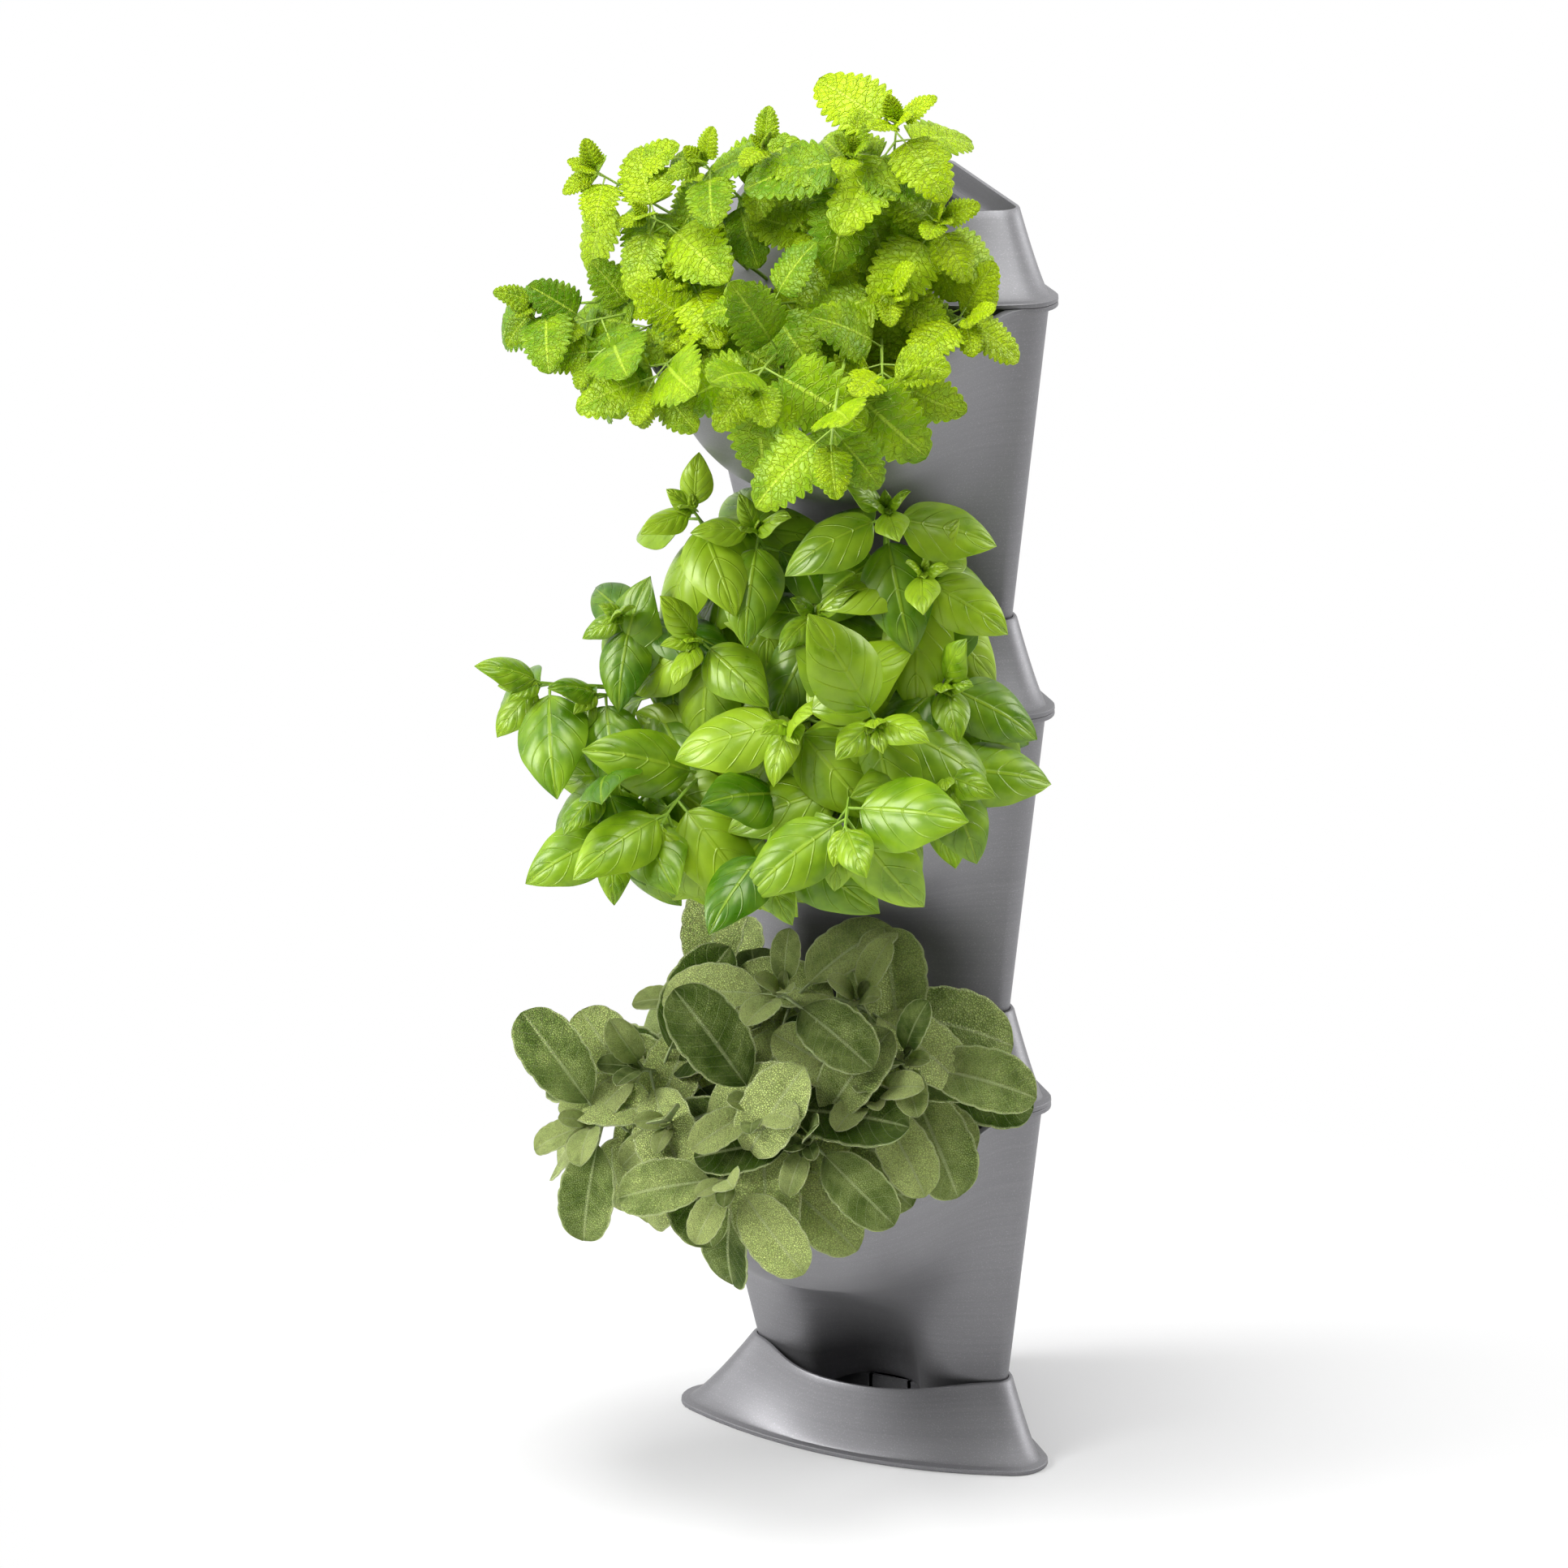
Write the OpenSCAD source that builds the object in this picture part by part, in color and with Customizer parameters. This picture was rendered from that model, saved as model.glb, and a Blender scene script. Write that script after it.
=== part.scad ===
// Corner tower planter: three tapered pots, each with a bowl-shaped planting mouth, stand on one
// another through open collars above a drip tray, and carry three kitchen herbs in potting soil.
// Plan view: +Y points into the room corner, -Y to the front; the two back walls lie at 45 degrees.

/* [Stack] */
// Distance from one pot's rim to the next
level_pitch = 245; // [240:1:256]
// Height of the drip tray
tray_h = 41; // [39:1:50]
// Height of a collar above the rim that carries it
collar_h = 45; // [42:1:50]
// How deep a pot stands in the collar below it
collar_seat = 15; // [12:1:18]
// How deep the lowest pot stands in the drip tray
tray_seat = 21; // [18:1:24]

/* [Rim] */
// Half the distance between the two front corner centres at the rim
rim_span = 102; // [98:1:106]
// How far the back corner leans forward from the foot to the rim
back_lean = 0.4; // [0:0.1:2]
// Corner radius of the pot wall at the rim
rim_corner_r = 15; // [13:0.5:17]
// Tangent angle of a flange's front edge where it leaves the corner, on pots and collars
rim_sweep = 36; // [33:1:39]
// Width of a flange outside the wall
flange_w = 5; // [4:0.5:6]
// Thickness of a flange
flange_t = 3; // [2.5:0.5:4]
// Width of the bead round the mouth's lip
bead_w = 1.6; // [1:0.2:2.4]

/* [Foot] */
// Half the distance between the foot's front corner centres
foot_span = 72.4; // [70:0.2:75]
// Corner radius of the pot wall at the foot
foot_corner_r = 8; // [7:0.5:9]
// Tangent angle of the foot's front edge where it leaves the corner
foot_sweep = 27; // [25:1:29]
// Depth of the recess that the plant below grows into, behind the corner centres
recess_y = 12; // [6:1:16]

/* [Mouth] */
// Reach of the mouth's lip in front of the foot's corner centres
lip_reach = 186; // [176:1:192]
// Downward slope of the lip towards the front, in degrees
lip_tilt = 15; // [12:1:17]
// Where the lip starts to drop, in front of the foot's corner centres
lip_start = 50; // [47:1:54]
// Breadth handle of the mouth's round front
mouth_breadth = 110; // [100:1:116]

/* [Tray] */
// Tangent angle of the tray's front edge
tray_sweep = 23; // [21:1:26]
// Reach of the tray's front opening in front of the foot's corner centres
tray_hole_reach = 53; // [50:1:56]
// Thickness of the tray's floor
tray_floor = 3; // [2:0.5:4]

/* [Moulding] */
// Wall thickness of the pots, the collars and the tray
wall = 2.2; // [1.8:0.1:2.6]
// Thickness of a pot's floor
pot_floor = 2.5; // [2:0.5:3.5]
// Width of the ledge that carries a pot's foot
ledge_w = 4; // [3:0.5:5]
// Thickness of that ledge
ledge_t = 2.5; // [2:0.5:3.5]
// Length of a collar's locating spigot inside the pot's rim
spigot_h = 6; // [4:1:8]
// Clearance between parts that slip into one another
slip = 0.3; // [0.2:0.05:0.4]
// Radius of a drain hole
drain_r = 4; // [3:0.5:5]
// Distance between drain holes
drain_gap = 26; // [22:1:30]

/* [Soil] */
// Height of the soil above a pot's foot
soil_h = 155; // [150:1:160]
// Radius of a root ball at the top
root_r = 48; // [42:1:50]
// Height of a root ball
root_h = 46; // [40:1:48]
// Distance of the root ball's centre in front of the foot's corner centres
root_forward = 56; // [52:1:60]
// How far a root ball stands above the soil
root_proud = 3; // [1:0.5:5]

/* [Herbs] */
// Length of a full-grown sage leaf with its stalk
sage_leaf = 84; // [74:1:90]
// Length of a full-grown basil leaf with its stalk
basil_leaf = 70; // [62:1:76]
// Length of a full-grown balm leaf with its stalk
balm_leaf = 60; // [52:1:66]
// Thickness of a leaf along its midrib
leaf_t = 1.4; // [1:0.1:2]
// Radius of a stem where it leaves the root ball
stem_r = 2; // [1.5:0.1:2.4]
// Reach of a plant, the unit of the tables of stem tips
plant_r = 150; // [144:1:156]

/* [Hidden] */

plastic = [0.50, 0.51, 0.53];
soil_brown = [0.17, 0.12, 0.09];
root_brown = [0.24, 0.17, 0.11];
sage_green = [0.45, 0.53, 0.36];
basil_green = [0.30, 0.55, 0.10];
balm_green = [0.45, 0.66, 0.16];
stem_green = [0.55, 0.65, 0.25];

over = 1;
eps = 0.02;
pot_h = level_pitch - collar_h + collar_seat;
rim_forward = rim_span - foot_span + back_lean;
rims = [tray_h - tray_seat + pot_h, tray_h - tray_seat + pot_h + level_pitch,
        tray_h - tray_seat + pot_h + 2 * level_pitch];
feet = [for (rim = rims) rim - pot_h];

// Shape of a pot from its foot to its rim: shares of the height, and at each the share of the way
// from recess to lip, and of the way between the foot's and the rim's curve handles.
ring_shares = [0, 0.14, 0.28, 0.40, 0.50, 0.60, 0.72, 0.86, 1];
front_shares = [0, 0.06, 0.18, 0.34, 0.515, 0.707, 0.833, 0.92, 1];
breadth_shares = [0, 0, 0, 0.08, 0.23, 0.46, 0.69, 0.88, 1];
tangent_shares = [0, 0.04, 0.20, 0.38, 0.55, 0.69, 0.82, 0.93, 1];
foot_breadth = 45;
foot_tangent = 75;
rim_tangent = 30;
hole_breadth = 45;
hole_tangent = 25;
drop_from_share = 0.3;
drop_ease = 20;

// Flange and skirt profile
flange_edge = 0.8;
spigot_lean = (rim_span - foot_span + rim_corner_r - foot_corner_r) * spigot_h / pot_h;
fillet_share = 0.18;
belly_share = 0.55;
skirt_hollow = 1.25;
arch_half = 92;
arch_rise = 36;
arch_square = 0.8;
arch_steps = 12;
drain_sides = 10;
root_sides = 24;
rib_front = 8;
rib_back = 40;

// Plants
root_foot_share = 0.8;
plant_gap = 0.8;
lift = 60;
boundary_drop = 88;
boundary_tilt = 10;
foot_spread_share = 0.28;
foot_back_share = 0.85;
rim_above = pot_h - soil_h - root_proud;
rise_over_share = 0.04;
rise_rim_share = 1.53;
rise_less_share = 0.16;
reach_share = 0.8;
sag_share = 0.05;
tip_share = 0.5;
stem_sides = 4;
stem_steps = 4;
leaf_middle_share = 0.55;
leaf_cup_share = 0.12;
leaf_bend_share = 0.22;
leaf_light_shares = [0.1, -0.6, 0.8];
leaf_turn_share = 0.75;
sage_sag_share = 0.35;
basil_sag_share = 0.6;
balm_sag_share = 0.5;
sage_width_share = 0.46;
basil_width_share = 0.58;
balm_width_share = 0.66;
full_edge_shares = [[0.3, 0.42], [0.72, 0.42]];
plain_edge_shares = [[0.5, 0.5]];
pair_place_shares = [1, 0.95, 0.88, 0.74, 0.6];
pair_size_shares = [0.5, 0.9, 1, 0.95, 0.85];
pair_steep_shares = [1.4, 0.5, 0.2, 0.3, 0.4];

sage_form = [sage_leaf, sage_width_share, sage_sag_share];
basil_form = [basil_leaf, basil_width_share, basil_sag_share];
balm_form = [balm_leaf, balm_width_share, balm_sag_share];

// Shoots of the three plants
sage_shoot_shares = [
    [-0.50, -0.74, 0.26, 0.9, 1.05, 3],
    [0.06, -0.86, 0.24, 0.3, 1.1, 3],
    [0.27, -0.42, 0.56, 0.7, 1.05, 2],
    [0.50, -0.50, 0.38, 1.0, 1.0, 3],
    [0.42, -0.62, 0.28, 0.4, 0.9, 3],
    [-0.38, -0.48, 0.46, 0.2, 1.0, 2],
    [-0.30, -0.88, 0.12, 0.6, 1.0, 3],
    [-0.62, -0.92, 0.08, 0.2, 0.95, 2],
    [0.02, -1.04, 0.00, 0.8, 0.95, 2],
    [-0.10, -0.55, 0.42, 1.3, 0.8, 2],
    [0.04, -0.60, 0.62, 0.9, 0.95, 2],
    [0.27, -0.86, 0.14, 0.8, 0.85, 2]
];
basil_shoot_shares = [
    [0.41, -0.46, 0.94, 1.1, 1.05, 3],
    [0.54, -0.42, 0.70, 0.8, 0.95, 2],
    [-0.38, -0.50, 0.84, 0.9, 1.0, 3],
    [-0.12, -0.50, 0.80, 0.3, 1.0, 2],
    [0.64, -0.43, 0.28, 1.0, 1.05, 3],
    [0.52, -0.78, 0.22, 0.2, 1.1, 2],
    [0.19, -0.83, 0.18, 0.8, 1.1, 3],
    [-0.28, -0.67, 0.39, 1.2, 0.95, 2],
    [-0.66, -0.77, 0.15, 0.9, 0.95, 2],
    [-0.88, -0.82, 0.18, 1.0, 1.15, 1],
    [-0.60, -0.66, 0.44, 0.5, 0.8, 2],
    [-0.22, -1.10, -0.20, 0.1, 1.05, 3],
    [-0.52, -1.03, -0.14, 0.9, 0.95, 2],
    [-0.42, -1.10, -0.30, 0.4, 0.95, 2],
    [0.51, -1.02, -0.12, 0.7, 1.1, 2],
    [0.20, -1.08, -0.30, 0.2, 1.0, 2],
    [-0.02, -0.96, -0.34, 0.9, 0.95, 2],
    [0.72, -0.60, -0.02, 0.4, 0.95, 2],
    [0.16, -0.55, 0.52, 0.6, 0.9, 2]
];
balm_shoot_shares = [
    [0.21, -0.33, 0.62, 0.9, 1.1, 2],
    [0.36, -0.27, 0.74, 0.4, 1.1, 2],
    [-0.14, -0.35, 0.62, 1.1, 0.9, 2],
    [-0.37, -0.40, 0.54, 0.7, 0.9, 2],
    [-0.79, -0.47, 0.48, 0.9, 1.0, 2],
    [-0.54, -0.53, 0.35, 0.2, 1.0, 2],
    [-0.90, -0.75, 0.02, 1.0, 1.0, 1],
    [-0.74, -0.72, -0.04, 0.1, 0.95, 2],
    [-0.64, -0.80, -0.14, 0.5, 1.0, 2],
    [0.01, -0.67, 0.11, 0.8, 1.0, 2],
    [0.12, -0.97, -0.09, 0.1, 1.1, 2],
    [0.47, -1.05, -0.26, 0.9, 1.1, 2],
    [0.40, -0.40, 0.14, 0.9, 1.05, 2],
    [0.54, -0.28, 0.40, 0.3, 0.95, 2],
    [0.66, -0.30, 0.04, 0.8, 0.8, 2],
    [0.49, -0.66, -0.12, 0.2, 0.9, 2],
    [0.09, -0.35, 0.31, 0.6, 0.95, 2],
    [-0.36, -0.58, 0.13, 1.0, 0.9, 2],
    [-0.28, -0.66, -0.02, 0.3, 0.9, 2],
    [-0.36, -0.88, -0.19, 0.6, 1.0, 2]
];

corner_steps = 4;
front_steps = 8;
back_steps = 3;
n_front = 2 * front_steps - 1;
n_corner = corner_steps + 1;
n_back = back_steps + 1;
columns = 2 * n_corner + n_front + n_back;

function mix(a, b, s) = a + (b - a) * s;
function unit(v) = v / norm(v);
function table(shares, t) = lookup(t, [for (i = [0:len(shares) - 1]) [ring_shares[i], shares[i]]]);
function bezier(p, s) =
    p[0] * pow(1 - s, 3) + 3 * p[1] * s * pow(1 - s, 2) + 3 * p[2] * s * s * (1 - s) + p[3] * pow(s, 3);

// A plan outline is [span, y of the corner centres, corner radius, sweep angle,
// tangent handle, breadth handle, y of the front].
function plain_outline(span, y, r, sweep) =
    let (big = r + span / sin(sweep), handle = 4 / 3 * tan(sweep / 4) * big)
    [span, y, r, sweep, handle, handle, y + span / tan(sweep) - big];
function mirrored(p) = [-p.x, p.y];
function corner_end(o) = [o[0] + o[2] * sin(o[3]), o[1] - o[2] * cos(o[3])];
function front_point(o, s) =
    let (start = corner_end(o))
    bezier([start, start - o[4] * [cos(o[3]), sin(o[3])], [o[5], o[6]], [0, o[6]]], s);
function right_corner(o, i) =
    let (angle = mix(45, o[3] - 90, i / corner_steps)) [o[0], o[1]] + o[2] * [cos(angle), sin(angle)];
function outline_point(o, j) =
    j < n_corner ? right_corner(o, j)
    : j < n_corner + front_steps ? front_point(o, (j - n_corner + 1) / front_steps)
    : j < n_corner + n_front ? mirrored(front_point(o, (n_corner + n_front - j) / front_steps))
    : j < 2 * n_corner + n_front ? mirrored(right_corner(o, 2 * n_corner + n_front - 1 - j))
    : let (angle = mix(135, 45, (j - 2 * n_corner - n_front) / back_steps))
      [0, o[0] + o[1]] + o[2] * [cos(angle), sin(angle)];
function outward(o, j) =
    let (
        before = outline_point(o, (j + columns - 1) % columns),
        after = outline_point(o, (j + 1) % columns),
        along = unit(after - before)
    ) [-along.y, along.x];
function grown(o, j, out) = outline_point(o, j) + outward(o, j) * out;
function level_ring(o, z, out = 0) =
    [for (j = [0:columns - 1]) let (p = grown(o, j, out)) [p.x, p.y, z]];

// Outlines of the pot, the flanges and the openings that the pots stand in.
function pot_outline(t) = [
    mix(foot_span, rim_span, t), -rim_forward * t, mix(foot_corner_r, rim_corner_r, t),
    mix(foot_sweep, rim_sweep, t), mix(foot_tangent, rim_tangent, table(tangent_shares, t)),
    mix(foot_breadth, mouth_breadth, table(breadth_shares, t)),
    mix(recess_y, -lip_reach, table(front_shares, t))
];
pot_flange = pot_outline(1);
collar_flange = plain_outline(rim_span, -rim_forward, rim_corner_r + flange_w, rim_sweep);
tray_flange = plain_outline(rim_span, -rim_forward, rim_corner_r + flange_w, tray_sweep);
function socket_outline(depth) =
    let (p = pot_outline(depth / pot_h))
    [p[0], p[1], p[2] + slip, foot_sweep, hole_tangent, hole_breadth, wall - tray_hole_reach];

// Height of the rim below the pot's full height at column j: the lip drops towards the front.
function lip_drop(j) =
    let (forward = max(0, -outline_point(pot_flange, j).y - lip_start))
    tan(lip_tilt) * forward * forward / (forward + drop_ease);
function wall_z(t, j) =
    t * pot_h - lip_drop(j) * max(0, t - drop_from_share) / (1 - drop_from_share);
function share_at(z, j) =
    let (low = z / pot_h, k = 1 / (1 - drop_from_share), drop = lip_drop(j) * k)
    low <= drop_from_share ? low : (z - drop * drop_from_share) / (pot_h - drop);
function flange_out(j) =
    let (far = j < n_corner || j >= n_corner + n_front ? 0 : min(j - n_corner + 1, n_corner + n_front - j))
    mix(flange_w, bead_w, min(1, far / 3));
function pot_ring(t, out) = [for (j = [0:columns - 1])
    let (p = grown(pot_outline(t), j, out)) [p.x, p.y, wall_z(t, j)]];
function pot_cut(z, out) = [for (j = [0:columns - 1])
    let (p = grown(pot_outline(share_at(z, j)), j, out)) [p.x, p.y, z]];
function rim_ring(below, out_share) = [for (j = [0:columns - 1])
    let (p = grown(pot_flange, j, flange_out(j) * out_share)) [p.x, p.y, wall_z(1, j) - below]];

// Skins a list of rings into a closed solid. A ring-shaped solid joins its last ring to its first.
// Turned, its four-sided faces are cut along their other diagonal.
module skin(rings, ring_shaped = false, turned = false) {
    n = columns;
    last = len(rings) - 1;
    sides = [for (i = [0:ring_shaped ? last : last - 1], j = [0:n - 1])
        let (a = i * n, b = (i == last ? 0 : i + 1) * n, k = (j + 1) % n)
        each turned ? [[a + j, a + k, b + j], [a + k, b + k, b + j]]
            : [[a + j, a + k, b + k], [a + j, b + k, b + j]]];
    caps = ring_shaped ? [] : [[for (j = [n - 1:-1:0]) j], [for (j = [0:n - 1]) last * n + j]];
    polyhedron([for (r = rings) each r], concat(sides, caps), convexity = 10);
}

// A pot's moulding. Grown, it is the space that the plants keep clear of.
module pot_shell(grow = 0) {
    skin(concat(
        [for (t = ring_shares) if (t < 1) pot_ring(t, grow)],
        [rim_ring(flange_t, grow / flange_w), rim_ring(flange_t, 1), rim_ring(-grow, 1)],
        [for (i = [len(ring_shares) - 1:-1:1]) pot_ring(ring_shares[i], -wall - grow)],
        [pot_cut(pot_floor, -wall - grow)]
    ));
}

module pot() {
    color(plastic) difference() {
        pot_shell();
        for (side = [-1, 0, 1])
            drain(side * drain_gap, drain_gap * (2 - abs(side)));
        for (side = [-1, 1])
            drain(side * drain_gap / 2, drain_gap * 5 / 2);
    }
}

module drain(x, y) {
    translate([x, y, -over])
        cylinder(r = drain_r, h = pot_floor + 2 * over, $fn = drain_sides);
}

// A skirt leads from a flange up to the opening that a pot's foot stands in.
// It gives the outer rings, from the flange's underside to the top of the opening.
function skirt_outside(flange, depth, height) = [
    level_ring(flange, 0, -flange_edge),
    level_ring(flange, flange_edge),
    level_ring(flange, flange_t - flange_edge),
    level_ring(flange, flange_t, -flange_edge),
    level_ring(flange, flange_t, flange_edge - flange_w),
    skirt_ring(flange, depth, height, fillet_share, 0),
    skirt_ring(flange, depth, height, belly_share, 0),
    skirt_ring(flange, depth, height, 1, 0)
];
function skirt_ring(flange, depth, height, share, out) =
    let (
        low = level_ring(flange, flange_t, out - flange_w),
        high = level_ring(socket_outline(depth), height, out + wall),
        rise = pow(share, skirt_hollow)
    )
    [for (j = [0:columns - 1]) [
        mix(low[j].x, high[j].x, share), mix(low[j].y, high[j].y, share), mix(flange_t, height, rise)
    ]];

module collar() {
    socket = socket_outline(collar_seat);
    ledge_z = collar_h - collar_seat;
    color(plastic) difference() {
        skin(concat(
            [level_ring(collar_flange, -spigot_h, -flange_w - wall - 2 * slip - spigot_lean)],
            [level_ring(collar_flange, 0, -flange_w - wall - slip)],
            skirt_outside(collar_flange, collar_seat, collar_h),
            [level_ring(socket, collar_h), level_ring(socket, ledge_z)],
            [level_ring(socket, ledge_z, -ledge_w), level_ring(socket, ledge_z - ledge_t, -ledge_w)],
            [level_ring(socket, ledge_z - ledge_t)],
            [skirt_ring(collar_flange, collar_seat, collar_h, fillet_share, -wall)],
            [level_ring(collar_flange, flange_t, -flange_w - 2 * wall - slip)],
            [level_ring(collar_flange, -spigot_h, -flange_w - 2 * wall - 2 * slip - spigot_lean)]
        ), true);
        // The arch in front, where the plant grows out of the mouth
        translate([0, -rim_forward - rim_corner_r, 0]) rotate([90, 0, 0])
            linear_extrude(lip_reach) polygon(arch_points());
    }
}

function arch_points() = concat(
    [[arch_half, -spigot_h - over]],
    [for (i = [0:arch_steps]) let (angle = 180 * i / arch_steps)
        [arch_half * rounded(cos(angle)), arch_rise * rounded(sin(angle))]],
    [[-arch_half, -spigot_h - over]]
);
function rounded(c) = sign(c) * pow(abs(c), arch_square);

module drip_tray() {
    color(plastic) {
        skin(concat(
            skirt_outside(tray_flange, tray_seat, tray_h),
            [level_ring(socket_outline(tray_seat), tray_h)],
            [for (s = [belly_share, fillet_share]) skirt_ring(tray_flange, tray_seat, tray_h, s, -wall)],
            [level_ring(tray_flange, tray_floor, -flange_w - wall)]
        ));
        // Ribs that carry the lowest pot over the water
        rib_h = tray_h - tray_seat - tray_floor + eps;
        for (y = [rib_front, rib_back])
            translate([-rib_span(y), y, tray_floor - eps])
                cube([2 * rib_span(y), wall, rib_h]);
        for (side = [-1, 1])
            translate([side * drain_gap / 2 - wall / 2, rib_front, tray_floor - eps])
                cube([wall, rib_back - rib_front, rib_h]);
    }
}
function rib_span(y) = foot_span - y - foot_corner_r;

// Everything inside a pot's walls
module pot_inside() {
    skin([for (i = [0:len(ring_shares) - 1])
        ring_shares[i] == 0 ? pot_cut(pot_floor, -wall - 2 * slip) : pot_ring(ring_shares[i], -wall - 2 * slip)],
        turned = true);
}

module soil() {
    color(soil_brown) difference() {
        intersection() {
            pot_inside();
            translate([-lip_reach, -lip_reach, 0]) cube([2 * lip_reach, 2 * lip_reach, soil_h]);
        }
        translate([0, -root_forward, soil_h + root_proud - root_h])
            cylinder(r1 = root_foot_share * root_r + slip, r2 = root_r + slip, h = root_h, $fn = root_sides);
    }
}

module root_ball() {
    color(root_brown) translate([0, -root_forward, soil_h + root_proud - root_h])
        cylinder(r1 = root_foot_share * root_r, r2 = root_r, h = root_h, $fn = root_sides);
}

// A shoot is [x, y and z shares of its tip from the root ball's centre at the height of the rim,
// turn of its first leaf pair in quarter turns, leaf size share, leaf pairs]. Its stem is a
// Bezier curve.
function stem_points(shoot) =
    let (
        tip = [shoot[0], shoot[1], shoot[2]] * plant_r + [0, 0, rim_above],
        foot = [shoot[0], shoot[1] + foot_back_share, 0] * foot_spread_share * plant_r,
        top = rim_above + rise_over_share * plant_r,
        rise = [0, 0, max(rise_rim_share * rim_above - rise_less_share * plant_r, tip.z / 2)],
        sag = [0, 0, max(sag_share * plant_r, top - tip.z)]
    )
    [foot, foot + rise, mix(foot, tip, reach_share) + sag, tip];
function stem_side(p) = let (h = p[3] - p[0]) unit([-h.y, h.x, 0]);
function stem_way(p, s) =
    unit((p[1] - p[0]) * pow(1 - s, 2) + (p[2] - p[1]) * 2 * s * (1 - s) + (p[3] - p[2]) * s * s);

module stem(shoot, thick) {
    p = stem_points(shoot);
    side = stem_side(p);
    n = stem_sides;
    sides = [for (i = [0:stem_steps - 1], k = [0:n - 1])
        let (a = i * n, b = a + n, m = (k + 1) % n) each [[a + k, a + m, b + m], [a + k, b + m, b + k]]];
    caps = [[for (k = [n - 1:-1:0]) k], [for (k = [0:n - 1]) stem_steps * n + k]];
    polyhedron([for (i = [0:stem_steps]) each stem_ring(p, side, i / stem_steps, thick)],
        concat(sides, caps), convexity = 6);
}
function stem_ring(p, side, s, thick) =
    let (up = cross(stem_way(p, s), side), r = thick * mix(1, tip_share, s))
    [for (k = [0:stem_sides - 1]) let (angle = 360 * k / stem_sides)
        bezier(p, s) + r * (cos(angle) * side + sin(angle) * up)];

// The convex piece between some points
module piece(points) {
    hull() polyhedron(points, [[for (i = [0:len(points) - 1]) i]]);
}

// A leaf: thin all round its edge and thickest on its midrib. It starts at the stem with its stalk.
module leaf(base, way, up, long, wide, edge_shares) {
    place = [base, way, up, cross(up, way), long, wide];
    n = len(edge_shares);
    one_side = [for (e = edge_shares) leaf_point(place, e[0], e[1], 0)];
    other_side = [for (i = [n - 1:-1:0]) leaf_point(place, edge_shares[i][0], -edge_shares[i][1], 0)];
    edge = concat([base], one_side, [leaf_point(place, 1, 0, 0)], other_side);
    midrib = [for (side = [1, -1]) leaf_point(place, leaf_middle_share, 0, side * leaf_t / 2)];
    top = len(edge);
    faces = [for (i = [0:top - 1]) let (next = (i + 1) % top) each [[top, i, next], [top + 1, next, i]]];
    polyhedron(concat(edge, midrib), faces);
}
function leaf_point(place, u, v, w) =
    place[0] + place[1] * u * place[4] + place[3] * v * place[5]
    + place[2] * (w + abs(v) * place[5] * leaf_cup_share - u * u * leaf_bend_share * place[4]);

// Leaf pair number k of a shoot, from the tip down
module leaf_pair(shoot, k, herb) {
    p = stem_points(shoot);
    s = pair_place_shares[k];
    way = stem_way(p, s);
    side = stem_side(p);
    up = cross(way, side);
    for (turn = [0, 180]) {
        angle = 90 * (shoot[3] + k) + turn;
        out = cos(angle) * side + sin(angle) * up;
        leaf_way = unit(way * pair_steep_shares[k] + out - [0, 0, herb[2]]);
        light = mix(way, leaf_light_shares, leaf_turn_share);
        leaf_up = unit(light - (light * leaf_way) * leaf_way);
        long = herb[0] * pair_size_shares[k] * shoot[4];
        leaf(bezier(p, s), leaf_way, leaf_up, long, long * herb[1],
            k == 1 ? full_edge_shares : plain_edge_shares);
    }
}

module herb_leaves(shoots, herb, young) {
    for (shoot = shoots, k = young ? [0] : [1:shoot[5]])
        leaf_pair(shoot, k, herb);
}

module herb_stems(shoots) {
    for (shoot = shoots)
        stem(shoot, stem_r);
}

// What a plant keeps clear of: its pot and soil, the stack above on its whole way up, and the
// plants of the neighbouring pots.
module keep_out(level) {
    pot_shell(plant_gap);
    translate([-rim_span, -root_forward - root_r, 0])
        cube([2 * rim_span, root_forward + root_r + rim_span, soil_h]);
    translate([-rim_span, -collar_seat, soil_h])
        cube([2 * rim_span, 2 * rim_span, pot_h - soil_h]);
    translate([0, 0, pot_h]) lifted_way(skirt_outside(collar_flange, collar_seat, collar_h));
    if (level < 2) {
        translate([0, 0, level_pitch])
            filled(concat([for (t = ring_shares) if (t < 1) pot_ring(t, plant_gap)], [rim_ring(-plant_gap, 1)]));
        boundary(1);
    }
    if (level > 0) translate([0, 0, -level_pitch]) boundary(-1);
}

// Convex pieces from each ring to the next
module filled(rings) {
    for (i = [1:len(rings) - 1])
        piece(concat(rings[i - 1], rings[i]));
}

// The space over a collar's arch that the collar passes on its way up
module lifted_way(rings) {
    intersection() {
        for (i = [0:len(rings) - 1])
            piece([for (p = concat(rings[max(i - 1, 0)], rings[i]), up = [0, lift + plant_gap]) p + [0, 0, up]]);
        translate([-lip_reach, -lip_reach, arch_rise / 2]) cube([2 * lip_reach, 2 * lip_reach, collar_h + 2 * lift]);
    }
}

// The slanted boundary between the plant of the pot that stands here and the one above it
module boundary(side) {
    translate([0, -lip_reach, pot_h + level_pitch - boundary_drop + side * plant_gap / 2])
        rotate([boundary_tilt, 0, 0])
            translate([-2 * plant_r, -2 * plant_r, side > 0 ? 0 : -2 * level_pitch])
                cube([4 * plant_r, 4 * plant_r, 2 * level_pitch]);
}

module planted(level) {
    translate([0, 0, feet[level]]) difference() {
        translate([0, -root_forward, soil_h + root_proud]) children();
        keep_out(level);
    }
}

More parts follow.
